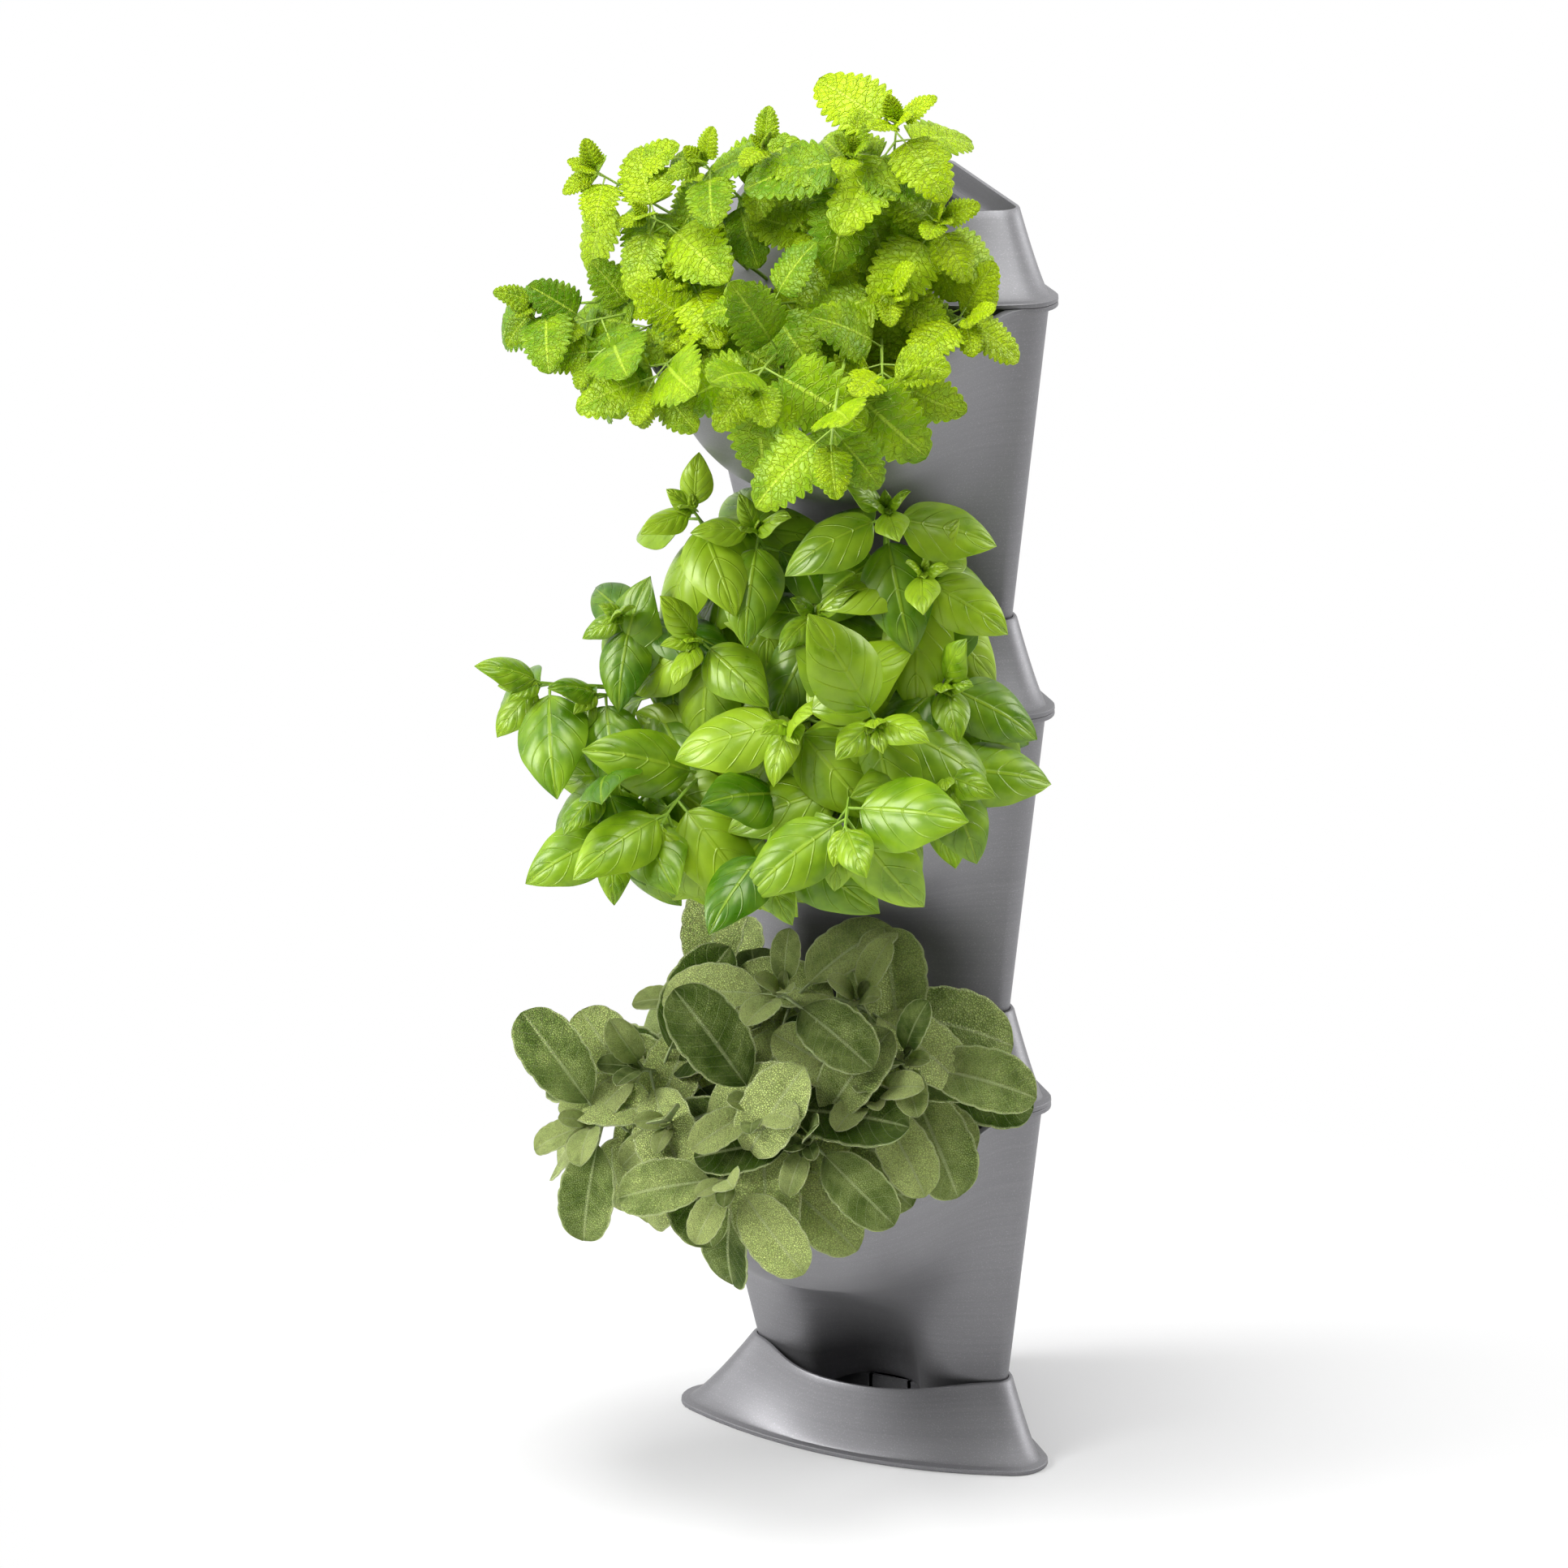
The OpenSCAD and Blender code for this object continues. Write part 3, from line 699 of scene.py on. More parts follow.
@dataclass(frozen=True)
class Outline:
    """A level outline: two walls at a right angle behind, round corners and a curved front."""

    span: float
    y: float
    corner_r: float
    sweep: float
    tangent: float
    breadth: float
    front: float

    @staticmethod
    def plain(span: float, y: float, corner_r: float, sweep: float) -> "Outline":
        """Make an outline whose front is one arc that leaves the corners at the sweep angle.

        Args:
            span: How far the corners' centres stand to the side.
            y: How far they stand back.
            corner_r: Radius of the corners.
            sweep: The angle, in degrees.

        Returns:
            The outline.
        """
        turn = math.radians(sweep)
        big = corner_r + span / math.sin(turn)
        handle = 4 / 3 * math.tan(turn / 4) * big
        return Outline(span, y, corner_r, sweep, handle, handle, y + span / math.tan(turn) - big)

    def points(self) -> Ring:
        """Work out the outline's points.

        Returns:
            The points, from the right corner round the front to the back.
        """
        side, behind = Vector((self.span, self.y)), Vector((0, self.span + self.y))
        turns = [mix(45, self.sweep - 90, i / CORNER_STEPS) for i in range(CORNER_STEPS + 1)]
        corner = [side + level_turn(turn, self.corner_r) for turn in turns]
        start = corner[-1]
        curve = [
            start,
            start - level_turn(self.sweep, 1) * self.tangent,
            Vector((self.breadth, self.front)),
            Vector((0, self.front)),
        ]
        right = [bezier(curve, (i + 1) / FRONT_STEPS) for i in range(FRONT_STEPS)]
        left = [Vector((-p.x, p.y)) for p in (corner + right[:-1])[::-1]]
        turns = [mix(135, 45, i / BACK_STEPS) for i in range(BACK_STEPS + 1)]
        return corner + right + left + [behind + level_turn(turn, self.corner_r) for turn in turns]

    def grown(self, out: float = 0.0) -> Ring:
        """Move the points outwards along the outline's normals.

        Args:
            out: How far.

        Returns:
            The moved points.
        """
        ring = self.points()
        result = []
        for j, point in enumerate(ring):
            along = (ring[(j + 1) % len(ring)] - ring[j - 1]).normalized()
            result.append(point + Vector((-along.y, along.x)) * out)
        return result

    def level(self, z: float, out: float = 0.0) -> Ring:
        """Return the grown outline at a height."""
        return [Vector((p.x, p.y, z)) for p in self.grown(out)]


@dataclass(frozen=True)
class Sizes:
    """Sizes that the mouldings share, in millimetres and degrees."""

    level_pitch: float = 245
    tray_h: float = 41
    collar_h: float = 45
    collar_seat: float = 15
    tray_seat: float = 21
    rim_span: float = 102
    rim_forward: float = 30
    rim_corner_r: float = 15
    rim_sweep: float = 36
    flange_w: float = 5
    flange_t: float = 3
    bead_w: float = 1.6
    edge_r: float = 0.8
    foot_span: float = 72.4
    foot_corner_r: float = 8
    foot_sweep: float = 27
    foot_tangent: float = 75
    foot_breadth: float = 45
    recess_y: float = 12
    lip_reach: float = 186
    lip_tilt: float = 15
    lip_start: float = 50
    lip_ease: float = 20
    lip_from_share: float = 0.3
    mouth_breadth: float = 110
    rim_tangent: float = 30
    wall: float = 2.2
    pot_floor: float = 2.5
    ledge_w: float = 4
    ledge_t: float = 2.5
    spigot_h: float = 6
    slip: float = 0.3
    drain_r: float = 4
    drain_gap: float = 26
    tray_sweep: float = 23
    tray_hole_reach: float = 53
    tray_floor: float = 3
    hole_tangent: float = 25
    hole_breadth: float = 45
    skirt_hollow: float = 1.25
    arch_half: float = 92
    arch_rise: float = 36
    arch_square: float = 0.8
    rib_front: float = 8
    rib_back: float = 40
    cut_past: float = 1
    soil_h: float = 155
    soil_gap: float = 0.6
    root_r: float = 48
    root_forward: float = 56
    root_proud: float = 3
    lift: float = 60

    @property
    def pot_h(self) -> float:
        """Return a pot's height."""
        return self.level_pitch - self.collar_h + self.collar_seat

    def foot(self, level: int) -> float:
        """Return the height of a pot's foot."""
        return self.tray_h - self.tray_seat + level * self.level_pitch

    def rim(self, level: int) -> float:
        """Return the height of a pot's rim."""
        return self.foot(level) + self.pot_h


RING_SHARES = (0, 0.14, 0.28, 0.40, 0.50, 0.60, 0.72, 0.86, 1)
FRONT_SHARES = (0, 0.06, 0.18, 0.34, 0.515, 0.707, 0.833, 0.92, 1)
BREADTH_SHARES = (0, 0, 0, 0.08, 0.23, 0.46, 0.69, 0.88, 1)
TANGENT_SHARES = (0, 0.04, 0.20, 0.38, 0.55, 0.69, 0.82, 0.93, 1)


@dataclass
class Moulding:
    """Shared shapes of the tower's plastic parts."""

    sizes: Sizes

    def __post_init__(self) -> None:
        """Work out the rim and the lip's drop at each of its points."""
        self.rim = self.pot_outline(1)
        self.drops = [self.lip_drop(p) for p in self.rim.points()]

    def pot_outline(self, t: float) -> Outline:
        """Work out a pot's outline.

        Args:
            t: Share of the pot's height.

        Returns:
            The outline there.
        """
        s = self.sizes
        tables = (FRONT_SHARES, BREADTH_SHARES, TANGENT_SHARES)
        front, breadth, tangent = (smooth_table(list(zip(RING_SHARES, table)), t) for table in tables)
        return Outline(
            mix(s.foot_span, s.rim_span, t),
            -s.rim_forward * t,
            mix(s.foot_corner_r, s.rim_corner_r, t),
            mix(s.foot_sweep, s.rim_sweep, t),
            mix(s.foot_tangent, s.rim_tangent, tangent),
            mix(s.foot_breadth, s.mouth_breadth, breadth),
            mix(s.recess_y, -s.lip_reach, front),
        )

    def lip_drop(self, at: Vector) -> float:
        """Work out how far the rim drops.

        Args:
            at: Point of the rim's outline.

        Returns:
            The drop there.
        """
        s = self.sizes
        forward = max(0.0, -at.y - s.lip_start)
        return math.tan(math.radians(s.lip_tilt)) * forward * forward / (forward + s.lip_ease)

    def plain(self, sweep: float) -> Outline:
        """Return the outline of a flange whose front is an arc of the given sweep."""
        s = self.sizes
        return Outline.plain(s.rim_span, -s.rim_forward, s.rim_corner_r + s.flange_w, sweep)

    def socket(self, depth: float) -> Outline:
        """Work out the opening that a pot's foot stands in.

        Args:
            depth: How deep the foot stands in it.

        Returns:
            The outline of the opening.
        """
        s = self.sizes
        p = self.pot_outline(depth / s.pot_h)
        front = s.wall - s.tray_hole_reach
        return Outline(p.span, p.y, p.corner_r + s.slip, s.foot_sweep, s.hole_tangent, s.hole_breadth, front)

    def wall_ring(self, t: float, out: float, below: float = 0.0) -> Ring:
        """Work out a ring of the pot's wall.

        Args:
            t: Share of the pot's height.
            out: How far outside the pot's outline.
            below: How far below that height.

        Returns:
            The ring's points.
        """
        s = self.sizes
        eased = max(0.0, t - s.lip_from_share) / (1 - s.lip_from_share)
        points = self.pot_outline(t).grown(out)
        return [Vector((p.x, p.y, t * s.pot_h - d * eased - below)) for p, d in zip(points, self.drops)]

    def skirt(self, flange: Outline, depth: float, height: float, share: float, out: float) -> Ring:
        """Work out a ring of the skirt that leads from a flange up to a socket.

        Args:
            flange: Outline of the flange.
            depth: Depth of the socket.
            height: Height of the skirt's top.
            share: How far the ring is on its way up.
            out: How far outside the skirt.

        Returns:
            The ring's points.
        """
        s = self.sizes
        low = flange.level(s.flange_t, out - s.flange_w)
        high = self.socket(depth).level(height, out + s.wall)
        z = mix(s.flange_t, height, share**s.skirt_hollow)
        return [Vector((mix(a.x, b.x, share), mix(a.y, b.y, share), z)) for a, b in zip(low, high)]

    def skirt_outside(self, flange: Outline, depth: float, height: float) -> list[Ring]:
        """Work out the outside of a flange and of the skirt above it.

        Args:
            flange: Outline of the flange.
            depth: Depth of the socket on top.
            height: Height of the skirt's top.

        Returns:
            Its rings, from the flange's round edge up.
        """
        s = self.sizes
        rings = [flange.level(z, shift) for shift, z in round_edge(s.edge_r, s.flange_t)]
        rings += [self.skirt(flange, depth, height, share, 0) for share in SKIRT_SHARES]
        top = self.socket(depth)
        return rings + [top.level(height, s.wall - s.edge_r / 2), top.level(height, s.edge_r / 2)]


def skin(rings: list[Ring], ring_shaped: bool = False) -> Pile:
    """Make the closed skin over a list of rings.

    Args:
        rings: Rings in order, from the outside's foot over the top to the inside's floor.
        ring_shaped: Whether the last ring leads back to the first.

    Returns:
        The pile of its points and faces.
    """
    pile = Pile()
    grid = [pile.ring(ring) for ring in rings]
    if ring_shaped:
        pile.sheet(grid + [grid[0]], closed=True)
    else:
        pile.tube(grid)
    return pile


def column(pile: Pile, centre: Vector, radius: float, height: float, sides: int = 28) -> None:
    """Add an upright column to a pile."""
    feet = (centre, centre + UP * height)
    pile.tube([pile.ring(circle(foot, ALONG_X, ALONG_Y, radius, sides)) for foot in feet])


def block(pile: Pile, low: Vector, high: Vector) -> None:
    """Add an upright block to a pile."""
    ring = [(low.x, low.y), (high.x, low.y), (high.x, high.y), (low.x, high.y)]
    pile.tube([pile.ring(Vector((x, y, z)) for x, y in ring) for z in (low.z, high.z)])


@dataclass
class Pot:
    """A tapered pot with a bowl-shaped mouth."""

    mouldings: Moulding
    finish: bpy.types.Material
    wall_steps: int = 36
    under_lip: float = 1.2
    wall_foot: float = 0.004
    wall_inside: tuple[float, float] = (0.985, 0.02)
    fillet_r: float = 0.25
    fillet_h: float = 0.5
    fillet_share: float = 0.3
    bevel_share: float = 0.3

    def walls(self, start: float, end: float, out: float) -> list[Ring]:
        """Return the rings of one side of the wall, between two shares of its height."""
        shares = [mix(start, end, i / self.wall_steps) for i in range(self.wall_steps + 1)]
        return [self.mouldings.wall_ring(share, out) for share in shares]

    def rings(self) -> list[Ring]:
        """Work out the pot's wall, lip and floor.

        Returns:
            Their rings, from the foot up the outside and down the inside.
        """
        m, s = self.mouldings, self.mouldings.sizes
        edge, slight = s.edge_r, self.bevel_share * s.edge_r
        rings = [m.wall_ring(0, -edge), m.wall_ring(0, -slight, -slight)]
        rings += self.walls(self.wall_foot, 1 - (s.flange_t + self.under_lip) / s.pot_h, 0)
        rings.append(self.lip(0, self.fillet_r, s.flange_t + self.fillet_h))
        rings.append(self.lip(self.fillet_share, 0, s.flange_t))
        rings += [self.lip(1, shift, s.flange_t - z) for shift, z in round_edge(edge, s.flange_t)]
        inner = -s.wall
        rings += [self.lip(0, inner + edge, 0), self.lip(0, inner + slight, slight), self.lip(0, inner, edge)]
        rings += self.walls(*self.wall_inside, inner)
        for share, above, inwards in POT_FLOOR_CURVE:
            rings.append(m.pot_outline(share).level(s.pot_floor + above, inner - inwards))
        return rings

    def lip(self, share: float, shift: float, below: float) -> Ring:
        """Work out a ring of the lip.

        Args:
            share: How far out on the lip, as a share of its width.
            shift: How much further out.
            below: How far below the lip's top.

        Returns:
            The ring's points.
        """
        m, s = self.mouldings, self.mouldings.sizes
        ring = []
        for p, q, width, drop in zip(m.rim.grown(0), m.rim.grown(1), self.lip_widths(), m.drops):
            at = p + (q - p).normalized() * (width * share + shift)
            ring.append(Vector((at.x, at.y, s.pot_h - drop - below)))
        return ring

    def lip_widths(self) -> list[float]:
        """Work out the lip's width: a flange on the walls, a bead round the mouth.

        Returns:
            The width at each point of the rim.
        """
        s = self.mouldings.sizes
        widths = []
        front = 2 * FRONT_STEPS - 1
        ease = 3 * FRONT_STEPS / 8
        for j in range(len(self.mouldings.drops)):
            inside = j - CORNER_STEPS
            far = min(inside, front + 1 - inside) if 0 < inside <= front else 0
            widths.append(mix(s.flange_w, s.bead_w, min(1.0, far / ease)))
        return widths

    def build(self, name: str) -> bpy.types.Object:
        """Build the pot of the lowest level, with its drain holes cut.

        Args:
            name: Name of the piece.

        Returns:
            The pot.
        """
        s = self.mouldings.sizes
        pot = skin(self.rings()).piece(name, [self.finish])
        drains = Pile()
        places = [(side * s.drain_gap, s.drain_gap * (2 - abs(side))) for side in (-1, 0, 1)]
        places += [(side * s.drain_gap / 2, s.drain_gap * 5 / 2) for side in (-1, 1)]
        for x, y in places:
            column(drains, Vector((x, y, -s.cut_past)), s.drain_r, s.pot_floor + 2 * s.cut_past)
        carve(pot, drains)
        pot.data.transform(Matrix.Translation((0, 0, s.foot(0) * MM)))
        return pot


@dataclass
class Collar:
    """A collar whose flange rests on a pot's rim and whose top holds the next pot's foot."""

    mouldings: Moulding
    finish: bpy.types.Material
    arch_steps: int = 60

    def rings(self) -> list[Ring]:
        """Work out the collar's section.

        Returns:
            The rings round it, outside first.
        """
        m, s = self.mouldings, self.mouldings.sizes
        flange, socket = m.plain(s.rim_sweep), m.socket(s.collar_seat)
        ledge_z = s.collar_h - s.collar_seat
        inner = -s.flange_w - s.wall - s.slip
        rings = [flange.level(-s.spigot_h, inner), flange.level(0, inner)]
        rings += m.skirt_outside(flange, s.collar_seat, s.collar_h)
        rings += [socket.level(s.collar_h - s.edge_r / 2), socket.level(ledge_z)]
        rings += [socket.level(ledge_z, -s.ledge_w), socket.level(ledge_z - s.ledge_t, -s.ledge_w)]
        rings.append(socket.level(ledge_z - s.ledge_t))
        for share in COLLAR_INSIDE_SHARES:
            rings.append(m.skirt(flange, s.collar_seat, s.collar_h, share, -s.wall))
        return rings + [flange.level(z, inner - s.wall) for z in (s.flange_t - 1, -s.spigot_h)]

    def arch(self) -> Pile:
        """Work out the front opening, where the plant grows out.

        Returns:
            Its space.
        """
        s = self.mouldings.sizes
        low = -s.spigot_h - s.cut_past
        outline = [(s.arch_half, low)]
        for i in range(self.arch_steps + 1):
            turn = math.pi * i / self.arch_steps
            across, high = math.cos(turn), math.sin(turn)
            x = s.arch_half * math.copysign(abs(across) ** s.arch_square, across)
            outline.append((x, s.arch_rise * abs(high) ** s.arch_square))
        outline.append((-s.arch_half, low))
        pile = Pile()
        start = -s.rim_forward - s.rim_corner_r
        ends = (start, start - s.lip_reach)
        pile.tube([pile.ring(Vector((x, y, z)) for x, z in outline) for y in ends], flip=True)
        return pile

    def build(self, name: str) -> bpy.types.Object:
        """Build the collar on the lowest pot's rim.

        Args:
            name: Name of the piece.

        Returns:
            The collar.
        """
        collar = skin(self.rings(), True).piece(name, [self.finish])
        carve(collar, self.arch())
        collar.data.transform(Matrix.Translation((0, 0, self.mouldings.sizes.rim(0) * MM)))
        return collar


@dataclass
class DripTray:
    """The tray that the tower stands in."""

    mouldings: Moulding
    finish: bpy.types.Material
    rib_sunk: float = 0.5

    def build(self, name: str) -> bpy.types.Object:
        """Build the tray with the ribs that carry the lowest pot.

        Args:
            name: Name of the piece.

        Returns:
            The tray.
        """
        m, s = self.mouldings, self.mouldings.sizes
        flange = m.plain(s.tray_sweep)
        rings = m.skirt_outside(flange, s.tray_seat, s.tray_h)
        rings.append(m.socket(s.tray_seat).level(s.tray_h - s.edge_r / 2))
        rings += [m.skirt(flange, s.tray_seat, s.tray_h, share, -s.wall) for share in TRAY_INSIDE_SHARES]
        for above, inwards in TRAY_FLOOR_CURVE:
            rings.append(flange.level(s.tray_floor + above, -s.flange_w - s.wall - inwards))
        pile = skin(rings)
        low, high = s.tray_floor - self.rib_sunk, s.tray_h - s.tray_seat
        for y in (s.rib_front, s.rib_back):
            half = s.foot_span - y - s.foot_corner_r
            block(pile, Vector((-half, y, low)), Vector((half, y + s.wall, high)))
        for side in (-1, 1):
            x = side * s.drain_gap / 2
            start = Vector((x - s.wall / 2, s.rib_front, low))
            block(pile, start, Vector((x + s.wall / 2, s.rib_back, high)))
        return pile.piece(name, [self.finish])


# --- Soil ----------------------------------------------------------------------------------


LUMP_SCALE, LUMP_HEIGHT = 0.03, 3.0
CLOD_SCALE, CLOD_HEIGHT = 0.16, 2.2
GRAIN_SCALE, GRAIN_HEIGHT = 0.5, 1.6
SOIL_WALL_SHARES = (0.02, 0.15, 0.3, 0.45, 0.6)
ROOT_SIDE_RINGS = ((0.8, -40.0), (0.9, -20.0), (0.97, -6.0))


def crumbs(at: Vector, seed: float) -> float:
    """Work out crumbly ground.

    Args:
        at: Place in millimetres.
        seed: Number that sets one piece of ground apart from another.

    Returns:
        The ground's height there.
    """
    here = Vector((at.x, at.y, seed))
    height = noise.fractal(here * LUMP_SCALE, 1.0, 2.0, 3) * LUMP_HEIGHT
    height += noise.fractal(here * CLOD_SCALE, 0.8, 2.0, 4) * CLOD_HEIGHT
    return height + abs(noise.noise(here * GRAIN_SCALE)) * GRAIN_HEIGHT


@dataclass
class Soil:
    """A pot's filling of potting soil with the root ball's crown in its middle."""

    mouldings: Moulding
    finish: bpy.types.Material
    root_finish: bpy.types.Material
    inward_rings: int = 34
    inward_share: float = 0.985
    sunk: float = 2.5
    edge_rough: float = 0.25
    rough_rise: float = 5
    seed_step: float = 7.0
    root_rings: int = 22
    root_sides: int = 72
    root_seed: float = 31.0
    root_sunk: float = 1.2
    root_top_share: float = 0.98
    root_fine: float = 1.4
    root_rough: float = 0.7

    def build(self, name: str, level: int) -> bpy.types.Object:
        """Build one pot's soil, closed down to the pot's floor.

        Args:
            name: Name of the piece.
            level: Level of the pot.

        Returns:
            The soil.
        """
        m, s = self.mouldings, self.mouldings.sizes
        base = UP * s.foot(level)
        centre = Vector((0, -s.root_forward, s.soil_h))
        inside = -s.wall - s.soil_gap
        pile = Pile()
        rows = [pile.ring(base + p for p in m.wall_ring(t, inside)) for t in SOIL_WALL_SHARES]
        edge = m.pot_outline(s.soil_h / s.pot_h).level(s.soil_h, inside)
        for i in range(self.inward_rings):
            inward = (i / (self.inward_rings - 1)) * self.inward_share
            row = []
            for p in edge:
                q = p.lerp(centre, inward)
                rough = min(1.0, self.edge_rough + inward * self.rough_rise)
                lift = crumbs(q, self.seed_step * level) * rough - self.sunk
                row.append(base + Vector((q.x, q.y, s.soil_h + lift)))
            rows.append(pile.ring(row))
        pile.tube(rows)
        return pile.piece(name, [self.finish], 180)

    def root_ball(self, name: str, level: int) -> bpy.types.Object:
        """Build the crown of a root ball, a crumbly mound of fibres.

        Args:
            name: Name of the piece.
            level: Level of its pot.

        Returns:
            The root ball.
        """
        s = self.mouldings.sizes
        centre = Vector((0, -s.root_forward, s.foot(level) + s.soil_h))
        pile = Pile()
        rows = []
        for radius, z in ROOT_SIDE_RINGS:
            ring = circle(centre + UP * z, ALONG_X, ALONG_Y, radius * s.root_r, self.root_sides)
            rows.append(pile.ring(ring))
        for i in range(self.root_rings):
            out = 1 - i / (self.root_rings - 0.5)
            top = centre + UP * (s.root_proud * (1 - out**3) - self.root_sunk)
            ring = circle(top, ALONG_X, ALONG_Y, out * s.root_r * self.root_top_share, self.root_sides)
            rough = [crumbs(p * self.root_fine, self.root_seed) * self.root_rough for p in ring]
            rows.append(pile.ring(p + UP * z for p, z in zip(ring, rough)))
        pile.tube(rows)
        return pile.piece(name, [self.root_finish], 180)


# --- Herbs ---------------------------------------------------------------------------------

PAIR_PLACE_SHARES = (1, 0.95, 0.88, 0.74, 0.6)
PAIR_SIZE_SHARES = (0.5, 0.9, 1, 0.95, 0.85)
PAIR_STEEP_SHARES = (1.4, 0.5, 0.2, 0.3, 0.4)
BUD_SIZES = (0.3, 0.17)
BUD_STEEP = 3.0
LIGHT = Vector((0.1, -0.6, 0.8))
TOOTH_APEX = 0.7
CURL_FROM = 0.6
ANGLE_PLAY, ROLL_PLAY = 7, 14
BEND_RANGE = (0.6, 1.5)
GREATEST_SIZE = 1.04
SHADE_RANGE, WAVE_RANGE = (0.15, 0.85), (0, 6)
TRIAL_SIZES = (1.0, 0.86, 0.72, 0.58)
TRIAL_TURNS = (0, 18, -18, 36, -36, 56, -56)


@dataclass(frozen=True)
class Blade:
    """The form of a herb's full-grown leaf."""

    length: float
    width_share: float
    stalk_share: float
    outline: tuple[tuple[float, float], ...]
    bend: float = 0.22
    cup: float = 0.06
    dome: float = 0.0
    curl: float = 0.0
    teeth: float = 0.0
    tooth_depth: float = 0.0
    veins: float = 7.0
    puff: float = 0.0
    ruffle: float = 0.0
    steps: int = 30
    halves: int = 6
    vein_lean: float = 1.6
    vein_bow: float = 1.2
    ruffle_turn: float = 11
    ruffle_apart: float = 2
    thickness: float = 0.45
    thin_share: float = 0.6
    rib: float = 0.8
    rib_columns: float = 1.5
    stalk_r: float = 0.75
    stalk_under: float = 0.12
    sag: float = 0.5
    turn_share: float = 0.75
    inner_pairs: int = 1
    least_size: float = 0.9
    tint_spread: float = 0.2

    def half_width(self, b: float) -> float:
        """Work out how wide the blade is.

        Args:
            b: Share of the blade's length.

        Returns:
            The half width there, as a share of the greatest.
        """
        width = smooth_table(self.outline, b)
        if self.teeth:
            phase = (self.teeth * b) % 1
            rise = phase / TOOTH_APEX if phase < TOOTH_APEX else (1 - phase) / (1 - TOOTH_APEX)
            width *= 1 - self.tooth_depth * (1 - math.sin(math.pi / 2 * rise))
        return width


@dataclass(frozen=True)
class Shoot:
    """A shoot of a herb: where its tip stands from the root at the rim's height, and its leaves."""

    x: float
    y: float
    z: float
    turn: float
    size: float
    pairs: int


def shoots(*rows: tuple[float, float, float, float, float, int]) -> tuple[Shoot, ...]:
    """Return the shoots of a table's rows."""
    return tuple(Shoot(*row) for row in rows)


@dataclass(frozen=True)
class Species:
    """A kind of herb: its leaf, its shoots, its finishes and the radius of its stems."""

    name: str
    blade: Blade
    shoots: tuple[Shoot, ...]
    leaf: LeafFinish
    stem: StemFinish
    stem_r: float


@dataclass(frozen=True)
class Pose:
    """Where a leaf starts, which way it grows and which way its face looks."""

    base: Vector
    way: Vector
    up: Vector
    long: float
    bend: float

    @property
    def across(self) -> Vector:
        """Return the direction from the leaf's left to its right."""
        return self.up.cross(self.way).normalized()

    def spine(self, u: float) -> Vector:
        """Return the point of the midrib at a share of the leaf's length."""
        return self.base + (self.way * u - self.up * (self.bend * u * u)) * self.long

    def turned(self, axis: Vector, degrees: float, size: float = 1.0) -> "Pose":
        """Turn the pose about an axis through its start, and scale it.

        Args:
            axis: The axis.
            degrees: How far to turn.
            size: What the length is multiplied by.

        Returns:
            The new pose.
        """
        turn = Matrix.Rotation(math.radians(degrees), 3, axis)
        way, up = (turn @ self.way).normalized(), (turn @ self.up).normalized()
        return Pose(self.base, way, up, self.long * size, self.bend)


@dataclass
class Bounds:
    """What a plant keeps clear of: the mouldings on their way up, and the neighbours' space."""

    obstacles: list[BVHTree]
    low_plane: Optional[Plane]
    high_plane: Optional[Plane]
    floor: float = 1.0

    def clear(self, points: Sequence[Vector], faces: Sequence[tuple[int, ...]]) -> bool:
        """Test whether a leaf has room.

        Args:
            points: Points of the leaf.
            faces: Its faces, as numbers of points.

        Returns:
            Whether it touches nothing.
        """
        for p in points:
            if self.low_plane and (p - self.low_plane[0]).dot(self.low_plane[1]) < 0:
                return False
            if self.high_plane and (p - self.high_plane[0]).dot(self.high_plane[1]) > 0:
                return False
            if p.z < self.floor:
                return False
        tree = BVHTree.FromPolygons(points, faces)
        return not any(tree.overlap(other) for other in self.obstacles)


